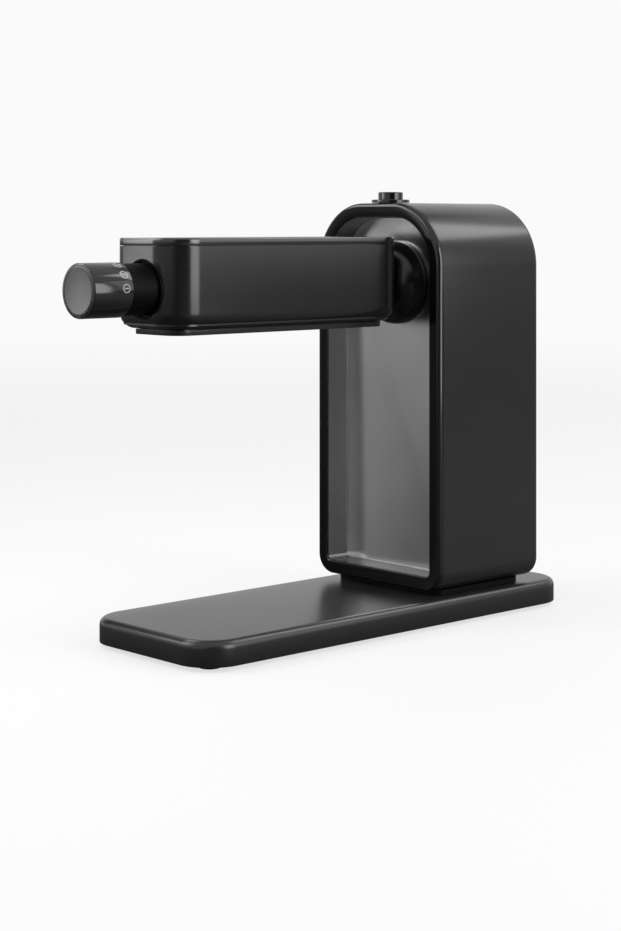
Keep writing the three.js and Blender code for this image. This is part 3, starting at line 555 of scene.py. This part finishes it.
SATIN_BLACK = plastic("satin_black", (0.014, 0.014, 0.015), 0.22, 0.5, 0.04)
HEAD_BLACK = plastic("head_black", (0.007, 0.007, 0.0075), 0.21, 0.5, 0.04)
KNOB_BLACK = plastic("knob_black", (0.012, 0.012, 0.0125), 0.1, 0.1, 0.02, depth=0.000001)
LID_BLACK = plastic("lid_black", (0.01, 0.01, 0.0105), 0.18, 0.3, 0.03, depth=0.000002, specular=0.8)
# A near-black with little reflection: painted shade for parts that stand in shadow (the plinth under the
# tower, the knob's neck and the dial well)
PAINTED_SHADE_BLACK = plastic("painted_shade_black", (0.003, 0.003, 0.0032), 0.5, 0.8, 0.04, specular=0.08)
GLOSS_BLACK = plastic("gloss_black", (0.006, 0.006, 0.0065), 0.07, 0.1, 0.02, depth=0.000001)
RIM_BLACK = plastic("rim_black", (0.006, 0.006, 0.0065), 0.1, 0.2, 0.02, depth=0.000002)
# A darker, less shiny copy of the rim's black for its front-facing faces: painted shade
RIM_FACE_PAINTED_SHADE = plastic("rim_face_painted_shade", (0.004, 0.004, 0.0045), 0.12, 0.2, 0.02, depth=0.000002, specular=0.12)
PANEL_GREY = plastic("panel_grey", (0.44, 0.44, 0.445), 0.2, 0.4, 0.03, metallic=1.0)
# Copies of the panel's metal for the tray's walls: the side walls are lightened (painted light) and the
# floor wall is darkened (painted shade)
PANEL_SIDE_PAINTED_LIGHT = plastic("panel_side_painted_light", (0.9, 0.9, 0.905), 0.3, 0.4, 0.03, metallic=1.0)
PANEL_SILL_PAINTED_SHADE = plastic("panel_sill_painted_shade", (0.15, 0.15, 0.155), 0.2, 0.4, 0.03, metallic=1.0)
BASE_BLACK = plastic("base_black", (0.016, 0.016, 0.017), 0.28, 0.4, 0.02, depth=0.000002)
RUBBER = plastic("foot_rubber", (0.012, 0.012, 0.012), 0.7, 1.6, 0.08, depth=0.00001)
NYLON = plastic("nylon", (0.74, 0.72, 0.66), 0.38, 0.6, 0.06)
GROUND_STEEL = ground_metal("ground_steel", (0.52, 0.53, 0.54), 0.3, 0.16, 0.000005)
SINTERED_BRONZE = ground_metal("sintered_bronze", (0.42, 0.26, 0.10), 0.46, 0.1, 0.000008)
BOARD_GREEN = solder_mask("board_green", (0.02, 0.10, 0.05), (0.05, 0.19, 0.09))
NUMBER_PAINT = plastic("number_paint", (0.42, 0.42, 0.42), 0.45, 0.4, 0.04)


# Base


def model_base():
    low, high = place_of("base_cover")
    cover = rounded_block("base_cover_shell", low, high, Z, BASE_CORNER, steps=20)
    soften_rim(cover, Z, high.z, BASE_TOP_ROUND, 8)
    soften_rim(cover, Z, low.z, BASE_LOW_ROUND, 2)
    step_face(cover, Z, low.z, BASE_WALL - BASE_LOW_ROUND, high.z - low.z - BASE_WALL)
    finish_piece(cover, BASE_BLACK, "root", "base_black", "base_cover")

    edge = 0.9 * MM
    dimple = 0.3 * MM
    for name in ("foot_1", "foot_2", "foot_3", "foot_4"):
        low, high, centre, radius = turned_place(name, Z)
        profile = [(radius * 0.5, low.z + dimple), (radius * 0.6, low.z)]
        profile += arc(radius - edge, low.z + edge, edge, -90, 0, 4)
        profile += [(radius, high.z)]
        pad = drum(name.replace("_", "_pad_"), Z, centre, profile, SMALL_TURN)
        finish_piece(pad, RUBBER, "root", "foot_rubber", name)

    low, high = place_of("tower_plinth")
    plinth = rounded_block("plinth_step", low, high, Z, 8 * MM)
    # The plinth is painted shade, near-black so it reads as the dark gap under the tower
    finish_piece(plinth, PAINTED_SHADE_BLACK, "root", "satin_black", "tower_plinth")


# Tower

LEVEL = 0.1  # a normal's share along an axis that the face lies level with


def looks_to_front(face):
    return face.normal.x < -0.97


def is_side_wall(face):
    return abs(face.normal.x) < 0.3


def looks_up(face):
    return face.normal.z > 0.9


def model_shell():
    low, high = place_of("tower_shell")
    shell = rounded_block("tower_body", low, high, X, TOP_CORNER, FOOT_CORNER, TOWER_CORNER_STEPS)
    soften_rim(shell, X, high.x, TOWER_BACK_ROUND, 7)
    step_face(shell, X, low.x, SHELL_WALL, high.x - low.x - SHELL_WALL)
    hole_floor = high.z - 5 * MM
    button_centre = centre_of("power_button")
    cut_bore(shell, "button_hole", Z, button_centre, BUTTON_HOLE, hole_floor, high.z + PAST, HOLE_TURN)
    inlet_half = Vector((0, 14.3 * MM, 10.3 * MM))
    hole_low = centre_of("power_inlet") - inlet_half
    hole_high = centre_of("power_inlet") + inlet_half
    hole_low.x = high.x - 6 * MM
    hole_high.x = high.x + PAST
    combine(shell, block("inlet_hole", hole_low, hole_high))
    finish_piece(shell, SATIN_BLACK, "root", "satin_black", "tower_shell")


def model_rim():
    """The front frame: a rim, the wall behind it round the recess tray, and a lip ahead of the tray."""
    low, high = place_of("front_frame")
    rim_back = low.x + RIM_DEPTH
    rim_high = (rim_back, high.y, high.z)
    rim = rounded_block("front_rim", low, rim_high, X, TOP_CORNER, FOOT_CORNER, TOWER_CORNER_STEPS)
    soften_rim(rim, X, low.x, RIM_BEVEL, 6)
    edit(rim)
    pick(rim, "FACE", lambda face: lies_at(face, X, rim_back))
    inset_faces(FRAME_WIDTH - RECESS_WALL)
    draw_faces(X, high.x - rim_back)
    inset_faces(RECESS_WALL - TRAY_WALL - TRAY_GAP)
    bpy.ops.mesh.delete(type="FACE")
    pick(rim, "FACE", lambda face: lies_at(face, X, low.x))
    inset_faces(FRAME_WIDTH - RIM_BEVEL)
    bpy.ops.mesh.delete(type="FACE")

    # The lip goes back from the rim's inner edge, then out to the wall
    pick(rim, "EDGE", lambda edge: edge.is_boundary and lies_at(edge, X, low.x))
    for step in (UNIT[X] * RIM_LIP, (0, 0, 0)):
        bpy.ops.mesh.extrude_edges_move(TRANSFORM_OT_translate={"value": step})
    centre = (low + high) / 2
    lip_centre = (low.x + RIM_LIP, centre.y, centre.z)
    half = (high - low) / 2 - Vector((0, FRAME_WIDTH, FRAME_WIDTH))
    wider = TRAY_WALL + TRAY_GAP
    scale = (1, (half.y + wider) / half.y, (half.z + wider) / half.z)
    bpy.ops.transform.resize(value=scale, center_override=lip_centre)
    pick(rim, "EDGE", lambda edge: edge.is_boundary)
    bpy.ops.mesh.bridge_edge_loops()

    def leads_to_lip(edge):
        return lies_at(edge, X, low.x) and any(abs(face.normal.x) < LEVEL for face in edge.link_faces)

    pick(rim, "EDGE", leads_to_lip)
    bevel(1.2 * MM, 5)
    close_shape()
    finish_piece(rim, RIM_BLACK, "root", "satin_black", "front_frame")
    # Painted shade: the faces that look to the front take a darker, less shiny copy of the rim's black
    refinish(rim, RIM_FACE_PAINTED_SHADE, looks_to_front)


def model_tray():
    """The metal panel with its side walls, a tray that the head's neck goes through."""
    low, high = place_of("front_frame")
    panel_low, panel_high = place_of("front_panel")
    margin = FRAME_WIDTH - TRAY_WALL
    mouth = low.x + RIM_LIP + TRAY_GAP
    tray_low = (mouth, low.y + margin, low.z + margin)
    tray_high = (panel_high.x, high.y - margin, high.z - margin)
    corners = (TOP_CORNER - margin, FOOT_CORNER - margin)
    tray = rounded_block("recess_tray", tray_low, tray_high, X, *corners, TOWER_CORNER_STEPS)
    step_face(tray, X, mouth, TRAY_WALL, panel_low.x - mouth)
    soften_rim(tray, X, panel_low.x, 0.7 * MM, 4)
    start, stop = panel_low.x - PAST, panel_high.x + PAST
    cut_bore(tray, "neck_hole", X, centre_of("head_collar"), NECK_HOLE, start, stop, MIDDLE_TURN)
    finish_piece(tray, PANEL_GREY, "root", "dark_metal", "front_panel", "front_frame")
    # Painted light and shade: the side walls take a lighter copy of the panel's metal, the floor wall a
    # darker one
    refinish(tray, PANEL_SIDE_PAINTED_LIGHT, is_side_wall)
    refinish(tray, PANEL_SILL_PAINTED_SHADE, looks_up)


def model_button():
    low, high, centre, outer = turned_place("button_bezel", Z)
    edge = 0.6 * MM
    bore_edge = 0.4 * MM
    profile = [(BUTTON_HOLE, low.z), (outer, low.z)]
    profile += arc(outer - edge, high.z - edge, edge, 0, 90, 4)
    profile += arc(BUTTON_HOLE + bore_edge, high.z - bore_edge, bore_edge, 90, 180, 3)
    profile += [(BUTTON_HOLE, low.z)]
    ring = drum("button_ring", Z, centre, profile, MIDDLE_TURN)
    finish_piece(ring, GLOSS_BLACK, "root", "gloss_black", "button_bezel")

    low, high = place_of("power_button")
    lip = (high.x - low.x) / 2
    lip_top = low.z + MM
    radius = 8.4 * MM
    edge = 0.9 * MM
    profile = [(lip, low.z), (lip, lip_top), (radius, lip_top)]
    profile += arc(radius - edge, high.z - edge, edge, 0, 90, 5)
    for reach, dish in ((radius - 2.2 * MM, 0.05), (radius * 0.4, 0.35), (radius * 0.05, 0.4)):
        profile.append((reach, high.z - dish * MM))
    cap = drum("button_cap", Z, centre, profile, MIDDLE_TURN)
    finish_piece(cap, GLOSS_BLACK, "button", "gloss_black", "power_button")


def model_inlet():
    low, high = place_of("power_inlet")
    flange_front = high.x - 1.8 * MM
    socket_floor = low.x + 3.4 * MM
    flange = rounded_block("inlet_socket_body", (flange_front, low.y, low.z), high, X, 2.5 * MM, steps=5)
    soften_rim(flange, X, high.x, 0.5 * MM, 2)
    step_face(flange, X, flange_front, 3.2 * MM, low.x - flange_front)
    step_face(flange, X, high.x, 6.1 * MM, socket_floor - high.x)
    centre = (low + high) / 2
    pin_start = low.x + 2 * MM
    pin_end = high.x - 2.1 * MM
    pin_radius = 1.3 * MM
    edge = 0.4 * MM
    for side in (-1, 1):
        profile = [(pin_radius, pin_start)] + arc(pin_radius - edge, pin_end - edge, edge, 0, 90, 3)
        pin_centre = centre + UNIT[Y] * side * 4.5 * MM
        combine(flange, drum("inlet_pin", X, pin_centre, profile, PIN_TURN), "UNION")
    finish_piece(flange, GLOSS_BLACK, "root", "gloss_black", "power_inlet")


# Head


def slot_block(name, bottom, top):
    return block(name, (CUTTER_ENDS[0], -SLOT_HALF, bottom), (CUTTER_ENDS[1], SLOT_HALF, top))


def beside_slot(edge):
    reach = 0.2 * MM
    start, stop = CUTTER_ENDS[0] - reach, CUTTER_ENDS[1] + reach
    return all(start < corner.co.x < stop and abs(corner.co.y) < SLOT_HALF + reach for corner in edge.verts)


def model_casing():
    low, high = place_of("head_casing")
    casing = rounded_block("head_body", low, high, Z, HEAD_FAR_CORNER, HEAD_CORNER, HEAD_CORNER_STEPS)
    soften_rim(casing, Z, low.z, HEAD_LOW_ROUND, 10)
    step_face(casing, Z, high.z, HEAD_WALL, low.z + HEAD_WALL - high.z)
    sole_low, sole_high = place_of("sole_plate")
    lip = 3 * MM
    opening_low = Vector((sole_low.x + lip, sole_low.y + lip, low.z - PAST))
    opening_high = Vector((sole_high.x - lip, sole_high.y - lip, low.z + HEAD_WALL + PAST))
    combine(casing, rounded_block("sole_opening", opening_low, opening_high, Z, 1.2 * MM, 9 * MM))
    centre = centre_of("setting_knob")
    *_, cup_outer = turned_place("dial_cup", X)
    cup_radius = cup_outer + 0.3 * MM
    depth = 4.4 * MM
    cut_bore(casing, "cup_hole", X, centre, cup_radius, low.x - PAST, low.x + depth, MIDDLE_TURN)
    cut_bore(casing, "shaft_hole", X, centre, SHAFT_HOLE, high.x - depth, high.x + PAST, SMALL_TURN)
    finish_piece(casing, HEAD_BLACK, "root", "satin_black", "head_casing")


def model_lid():
    low, high = place_of("head_lid")
    lid = rounded_block("lid_cover", low, high, Z, HEAD_FAR_CORNER, HEAD_CORNER, HEAD_CORNER_STEPS)
    soften_rim(lid, Z, high.z, 1.2 * MM, 4)
    soften_rim(lid, Z, low.z, 0.3 * MM, 2)
    step_face(lid, Z, low.z, HEAD_WALL - 0.5 * MM, -0.28 * MM)
    combine(lid, slot_block("feed_slot_cut", low.z - PAST, high.z + PAST))
    soften_rim(lid, Z, high.z, 0.6 * MM, 3, beside_slot)
    finish_piece(lid, LID_BLACK, "root", "gloss_black", "head_lid")


def model_outlet():
    low, high = place_of("sole_plate")
    plate_top = low.z + 3.2 * MM
    plate_high = (high.x, high.y, plate_top)
    plate = rounded_block("outlet_plate", low, plate_high, Z, 4.2 * MM, 12 * MM)
    soften_rim(plate, Z, low.z, 0.4 * MM, 2)
    step_face(plate, Z, plate_top, 3.3 * MM, high.z - plate_top)
    combine(plate, slot_block("outlet_cut", low.z - PAST, high.z + PAST))
    finish_piece(plate, SATIN_BLACK, "root", "satin_black", "sole_plate")


def model_collar():
    """A dome from the head's end to the tower, then a neck with a bore for the shaft."""
    low, high, centre, radius = turned_place("head_collar", X)
    length = 19.7 * MM
    neck, bore, bush = 19 * MM, 12 * MM, SHAFT_HOLE
    bush_end = low.x + length * 0.72
    first_turn = 15  # degrees from the dome's pole, where its flat end begins
    steps = 30
    profile = [(bush, low.x)]
    for step in range(1, steps + 1):
        turn = math.radians(first_turn + (90 - first_turn) * step / steps)
        rise = length * (math.cos(math.radians(first_turn)) - math.cos(turn))
        profile.append((radius * math.sin(turn), low.x + rise))
    profile += [(radius, low.x + length), (neck, low.x + length + 0.01 * MM), (neck, high.x)]
    profile += [(bore, high.x), (bore, bush_end), (bush, bush_end), (bush, low.x)]
    collar = drum("collar_drum", X, centre, profile, LARGE_TURN)
    finish_piece(collar, HEAD_BLACK, "root", "gloss_black", "head_collar")


# Knob and rollers

KNOB_SKIRT = -158.6 * MM  # where the knob's wide part ends
FACE_GROWTH = 0.6 * MM  # of the metal face's radius past its CAD node's
SEAT_GAP = 0.3 * MM  # round and behind the metal face
NUMBER_STATION = -164 * MM
NUMBER_COUNT = 9
NUMBER_STEP = 30  # degrees from number to number
FIRST_NUMBER = 85  # degrees from the top to number 1
RING_RADIUS = 2.75 * MM
RING_WIDTH = 0.6 * MM
DIGIT_SIZE = 4.1 * MM
DIGIT_BOLDER = 0.12 * MM
PAINT_HEIGHT = 0.03 * MM


def number_ring(name, place):
    ring = disc(name, RING_RADIUS, RING_TURN, place)
    edit(ring)
    pick_every_face()
    inset_faces(RING_WIDTH)
    bpy.ops.mesh.delete(type="FACE")
    leave_edit()
    return ring


def number_digit(name, number, place):
    bpy.ops.object.select_all(action="DESELECT")
    bpy.ops.object.text_add(location=place, rotation=(0, 0, -math.pi / 2))
    digit = bpy.context.object
    digit.data.body = str(number)
    digit.data.size = DIGIT_SIZE
    digit.data.offset = DIGIT_BOLDER
    digit.data.align_x = "CENTER"
    digit.data.align_y = "CENTER"
    bpy.ops.object.convert(target="MESH")
    return settle(bpy.context.object, name)


def model_numbers(grip, centre, radius):
    """Printed numbers in rings round the grip, laid onto its surface."""
    top = centre + UNIT[Z] * radius
    marks = []
    for number in range(1, NUMBER_COUNT + 1):
        ring = number_ring(f"ring_{number}", top)
        digit = number_digit(f"digit_{number}", number, top)
        from_top = math.radians(FIRST_NUMBER - NUMBER_STEP * (number - 1))
        for mark in (ring, digit):
            edit(mark)
            bpy.ops.mesh.select_all(action="SELECT")
            bpy.ops.transform.rotate(
                value=-from_top, orient_axis="X", orient_type="GLOBAL", center_override=centre
            )
            leave_edit()
            marks.append(mark)
    make_active(marks[0])
    for mark in marks:
        mark.select_set(True)
    bpy.ops.object.join()
    print_layer = settle(bpy.context.object, "dial_numbers")
    wrap = print_layer.modifiers.new("wrap", "SHRINKWRAP")
    wrap.target = grip
    wrap.wrap_mode = "ABOVE_SURFACE"
    wrap.offset = PAINT_HEIGHT
    bpy.ops.object.modifier_apply(modifier=wrap.name)
    finish_piece(print_layer, NUMBER_PAINT, "knob", None)


def model_grip():
    """The knob's wide part with its numbers, and the narrower part that goes into the dial well."""
    low, high, centre, radius = turned_place("setting_knob", X)
    _, disc_high, _, disc_radius = turned_place("knob_disc", X)
    seat_radius = disc_radius + FACE_GROWTH + SEAT_GAP
    seat_floor = disc_high.x + SEAT_GAP
    front_edge = 0.8 * MM
    back_edge = 0.6 * MM
    profile = [(SPINDLE_BORE, seat_floor), (seat_radius, seat_floor), (seat_radius, low.x)]
    profile += arc(radius - front_edge, low.x + front_edge, front_edge, -90, 0, 6)
    profile += [(radius, low.x + 20 * MM), (radius, KNOB_SKIRT - back_edge)]
    profile += arc(radius - back_edge, KNOB_SKIRT - back_edge, back_edge, 0, 90, 4)
    profile += [(SPINDLE_BORE, KNOB_SKIRT), (SPINDLE_BORE, seat_floor)]
    grip = drum("knob_grip", X, centre, profile, LARGE_TURN)
    finish_piece(grip, KNOB_BLACK, "knob", "gloss_black", "setting_knob")
    model_numbers(grip, Vector((NUMBER_STATION, centre.y, centre.z)), radius)

    neck = radius - 0.8 * MM
    neck_start = KNOB_SKIRT + 0.1 * MM
    neck_edge = 0.5 * MM
    profile = [(SPINDLE_BORE, neck_start), (neck, neck_start), (neck, high.x - neck_edge)]
    profile += [(neck - neck_edge, high.x), (SPINDLE_BORE, high.x), (SPINDLE_BORE, neck_start)]
    inner_part = drum("knob_neck", X, centre, profile, LARGE_TURN)
    # The neck is painted shade, near-black like the shadow round the knob's root
    finish_piece(inner_part, PAINTED_SHADE_BLACK, "knob", "gloss_black", "setting_knob")


def model_knob_face():
    """The metal face: a shallow dish, a ring groove round it and a rounded edge."""
    low, high, _, radius = turned_place("knob_disc", X)
    centre = centre_of("setting_knob")
    radius += FACE_GROWTH
    dish = 0.5 * MM
    dished = radius - 1.6 * MM
    groove_floor = low.x + 0.35 * MM
    edge = 0.4 * MM
    shares = [part / 8 for part in (0.2, 1, 2, 3, 4, 5, 6, 7, 8)]
    profile = [(dished * share, low.x + dish * (1 - share**2)) for share in shares]
    profile += [(radius - 1.45 * MM, groove_floor), (radius - 1.05 * MM, groove_floor)]
    profile += [(radius - 0.9 * MM, low.x)]
    profile += arc(radius - edge, low.x + edge, edge, -90, 0, 3)
    profile += [(radius, high.x)]
    face = drum("knob_face", X, centre, profile, LARGE_TURN)
    spun = turned_metal("spun_dark_metal", (0.075, 0.075, 0.077), 0.28, X, centre)
    finish_piece(face, spun, "knob", "dark_metal", "knob_disc")


def model_dial_well():
    """The cup in the casing's end that the knob's narrow part turns in."""
    low, high, _, outer = turned_place("dial_cup", X)
    wall = 0.9 * MM
    inner = outer - wall
    floor = high.x - wall
    inner_edge = 0.2 * MM
    outer_edge = 0.3 * MM
    profile = [(SPINDLE_BORE, floor), (inner, floor), (inner, low.x + inner_edge)]
    profile += [(inner + inner_edge, low.x), (outer - outer_edge, low.x), (outer, low.x + outer_edge)]
    profile += [(outer, high.x), (SPINDLE_BORE, high.x), (SPINDLE_BORE, floor)]
    well = drum("dial_well", X, centre_of("setting_knob"), profile, LARGE_TURN)
    # The dial well is painted shade, near-black so it sinks into the shadow round the knob
    finish_piece(well, PAINTED_SHADE_BLACK, "root", "gloss_black", "dial_cup")


def model_rollers():
    """Two rollers whose rings stand in each other's grooves, half a pitch apart."""
    rings = 18
    start, stop = CUTTER_ENDS
    pitch = (stop - start) / rings
    half_ring = pitch / 4 - 0.225 * MM
    chamfer = 0.25 * MM
    rollers = (("fixed_roller", "fixed_cutter", 0.25), ("moving_roller", "moving_cutter", 0.75))
    for name, body, offset in rollers:
        low, high, centre, radius = turned_place(name, X)
        groove = radius - 2.8 * MM
        shaft = radius * 0.32
        profile = [(shaft - chamfer, low.x), (shaft, low.x + chamfer), (shaft, start), (groove, start)]
        for ring in range(rings):
            middle = start + (ring + offset) * pitch
            near_end, far_end = middle - half_ring, middle + half_ring
            profile += [(groove, near_end), (radius - chamfer, near_end), (radius, near_end + chamfer)]
            profile += [(radius, far_end - chamfer), (radius - chamfer, far_end), (groove, far_end)]
        profile += [(groove, stop), (shaft, stop), (shaft, high.x - chamfer), (shaft - chamfer, high.x)]
        roller = drum(name.replace("_", "_cutter_"), X, centre, profile, MIDDLE_TURN)
        finish_piece(roller, GROUND_STEEL, body, "steel", name)


def dress_nodes():
    """Gives the CAD nodes that stay a detailed material for each of their slots."""
    finishes = {
        "steel": GROUND_STEEL,
        "bearing_bronze": SINTERED_BRONZE,
        "nylon": NYLON,
        "circuit_board": BOARD_GREEN,
        "gloss_black": GLOSS_BLACK,
        "satin_black": SATIN_BLACK,
        "base_black": BASE_BLACK,
        "foot_rubber": RUBBER,
        "dark_metal": PANEL_GREY,
    }
    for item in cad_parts.values():
        for place in item.material_slots:
            place.material = finishes[place.material.name.split(".")[0]]


# Room, lamps and camera

PAPER_WHITE = 0.955  # of the paper and the room, as the camera sees them
PAPER_COLOUR = 0.9  # of the lit paper round the object, where its shadow falls
ROOM_WHITE = 0.82  # of the room as the object shows it

# The paper as the object shows it: before the object, just behind it and far behind it
FLOOR_SEEN_BACK = (0.19, 0.04, 0.44)
BEHIND = (-0.707, 0.707, 0)
TO_NEAR_BEHIND = (-0.35, -0.05)  # metres along BEHIND, where the first change starts and ends
TO_FAR_BEHIND = (0.1, 1.7)
TO_BACKDROP = (1.0, 3.5)  # metres from the object, where the seen paper passes into the bright room
PAPER_GLOW = 0.72  # share of the room's white in the seen paper before that

# Cards round the object: direction, soft edge from and to in degrees, and brightness
ROOM_CARDS = (
    ((0.68, -0.73, 0.0), 20, 36, 0.45),
    ((0.678, 0.178, 0.713), 3, 9, 0.3),
    ((-0.375, -0.927, -0.05), 24, 42, 0.03),
    ((-0.067, 0.763, 0.643), 16, 30, 0.05),
)

# Lamps: name, place, the point it faces, width and height, and watts
SOFTBOXES = (
    ("high_right_softbox", (1.15, -0.5, 1.35), (0.05, 0, 0.2), (0.7, 0.7), 5.5),
    ("front_right_softbox", (0.366, -1.637, 0.5), (-0.12, -0.01, 0.25), (0.95, 1.1), 16),
    ("left_softbox", (-0.72, 0.42, 0.62), (-0.12, 0, 0.24), (0.5, 0.55), 2.5),
    ("head_front_softbox", (0.755, -0.932, 0.6), (0.077, -0.197, 0.6), (0.37, 0.78), 1.25),
    ("rim_softbox", (-0.11, 0.356, 0.582), (0.062, 0, 0.275), (0.3, 0.22), 0.75),
    ("head_end_softbox", (-0.429, 0.353, 0.4), (0.249, -0.382, 0.4), (0.096, 0.41), 0.42),
)

CAMERA_PLACE = (-0.8639, -0.9348, 0.2632)
CAMERA_TURN = -42.7  # degrees about +Z
CAMERA_SENSOR = 36  # millimetres
CAMERA_LENS = 75.3  # millimetres
CAMERA_SHIFT = -0.258


def model_room():
    reach, thickness = 30, 0.02
    floor = block("studio_floor", (-reach, -reach, -thickness), (reach, reach, 0))
    material, tree, shader, spot = new_material("pale_paper")
    camera_ray = node(tree, "ShaderNodeLightPath").outputs["Is Camera Ray"]
    behind = reach_along(tree, spot, BEHIND)
    before, near_behind, far_behind = FLOOR_SEEN_BACK
    near = fade(tree, behind, *TO_NEAR_BEHIND, before, near_behind)
    far = fade(tree, behind, *TO_FAR_BEHIND, 0, far_behind - near_behind)
    seen_back = sum_up(tree, "ADD", near, far)
    paper = mix(tree, "RGBA", camera_ray, seen_back, (PAPER_COLOUR, PAPER_COLOUR, PAPER_COLOUR, 1))
    tree.links.new(paper, shader.inputs["Base Color"])
    shader.inputs["Roughness"].default_value = 0.7
    glow = node(tree, "ShaderNodeEmission")
    glow.inputs["Color"].default_value = (PAPER_WHITE, PAPER_WHITE, PAPER_WHITE, 1)
    away = fade(tree, length_of(tree, spot), *TO_BACKDROP, PAPER_GLOW, 1)
    blend = node(tree, "ShaderNodeMixShader")
    tree.links.new(sum_up(tree, "MULTIPLY", camera_ray, away), blend.inputs["Fac"])
    tree.links.new(shader.outputs["BSDF"], blend.inputs[1])
    tree.links.new(glow.outputs["Emission"], blend.inputs[2])
    tree.links.new(blend.outputs["Shader"], tree.nodes["Material Output"].inputs["Surface"])
    floor.data.materials.append(material)


def softbox(name, place, target, size, power):
    lamp = bpy.data.lights.new(name, "AREA")
    lamp.shape = "RECTANGLE"
    lamp.size, lamp.size_y = size
    lamp.energy = power
    holder = bpy.data.objects.new(name, lamp)
    bpy.context.scene.collection.objects.link(holder)
    holder.location = place
    holder.visible_camera = False
    holder.rotation_euler = (Vector(target) - Vector(place)).to_track_quat("-Z", "Y").to_euler()


def room_card(tree, direction, towards, inner, outer):
    """A soft-edged part of the room: 1 in the card's middle and 0 outside it."""
    near_card = reach_along(tree, direction, Vector(towards).normalized())
    return fade(tree, near_card, math.cos(math.radians(outer)), math.cos(math.radians(inner)))


def light_room():
    world = bpy.data.worlds.new("studio_world")
    bpy.context.scene.world = world
    world.use_nodes = True
    tree = world.node_tree
    direction = node(tree, "ShaderNodeTexCoord").outputs["Generated"]
    level = ROOM_WHITE
    for towards, inner, outer, brightness in ROOM_CARDS:
        card = room_card(tree, direction, towards, inner, outer)
        level = mix(tree, "FLOAT", card, level, brightness)
    camera_ray = node(tree, "ShaderNodeLightPath").outputs["Is Camera Ray"]
    seen = mix(tree, "FLOAT", camera_ray, level, PAPER_WHITE)
    tree.links.new(seen, tree.nodes["Background"].inputs["Color"])
    for row in SOFTBOXES:
        softbox(*row)


def set_camera():
    camera = bpy.data.cameras.new("photo_camera")
    camera.sensor_fit = "AUTO"
    camera.sensor_width = CAMERA_SENSOR
    camera.lens = CAMERA_LENS
    camera.shift_y = CAMERA_SHIFT
    camera.clip_end = 50
    holder = bpy.data.objects.new("photo_camera", camera)
    bpy.context.scene.collection.objects.link(holder)
    holder.location = CAMERA_PLACE
    holder.rotation_euler = (math.radians(90), 0, math.radians(CAMERA_TURN))
    bpy.context.scene.camera = holder


dress_nodes()
model_base()
model_shell()
model_rim()
model_tray()
model_button()
model_inlet()
model_casing()
model_lid()
model_outlet()
model_collar()
model_grip()
model_knob_face()
model_dial_well()
model_rollers()
model_room()
light_room()
set_camera()
bpy.context.scene.view_settings.view_transform = "Standard"
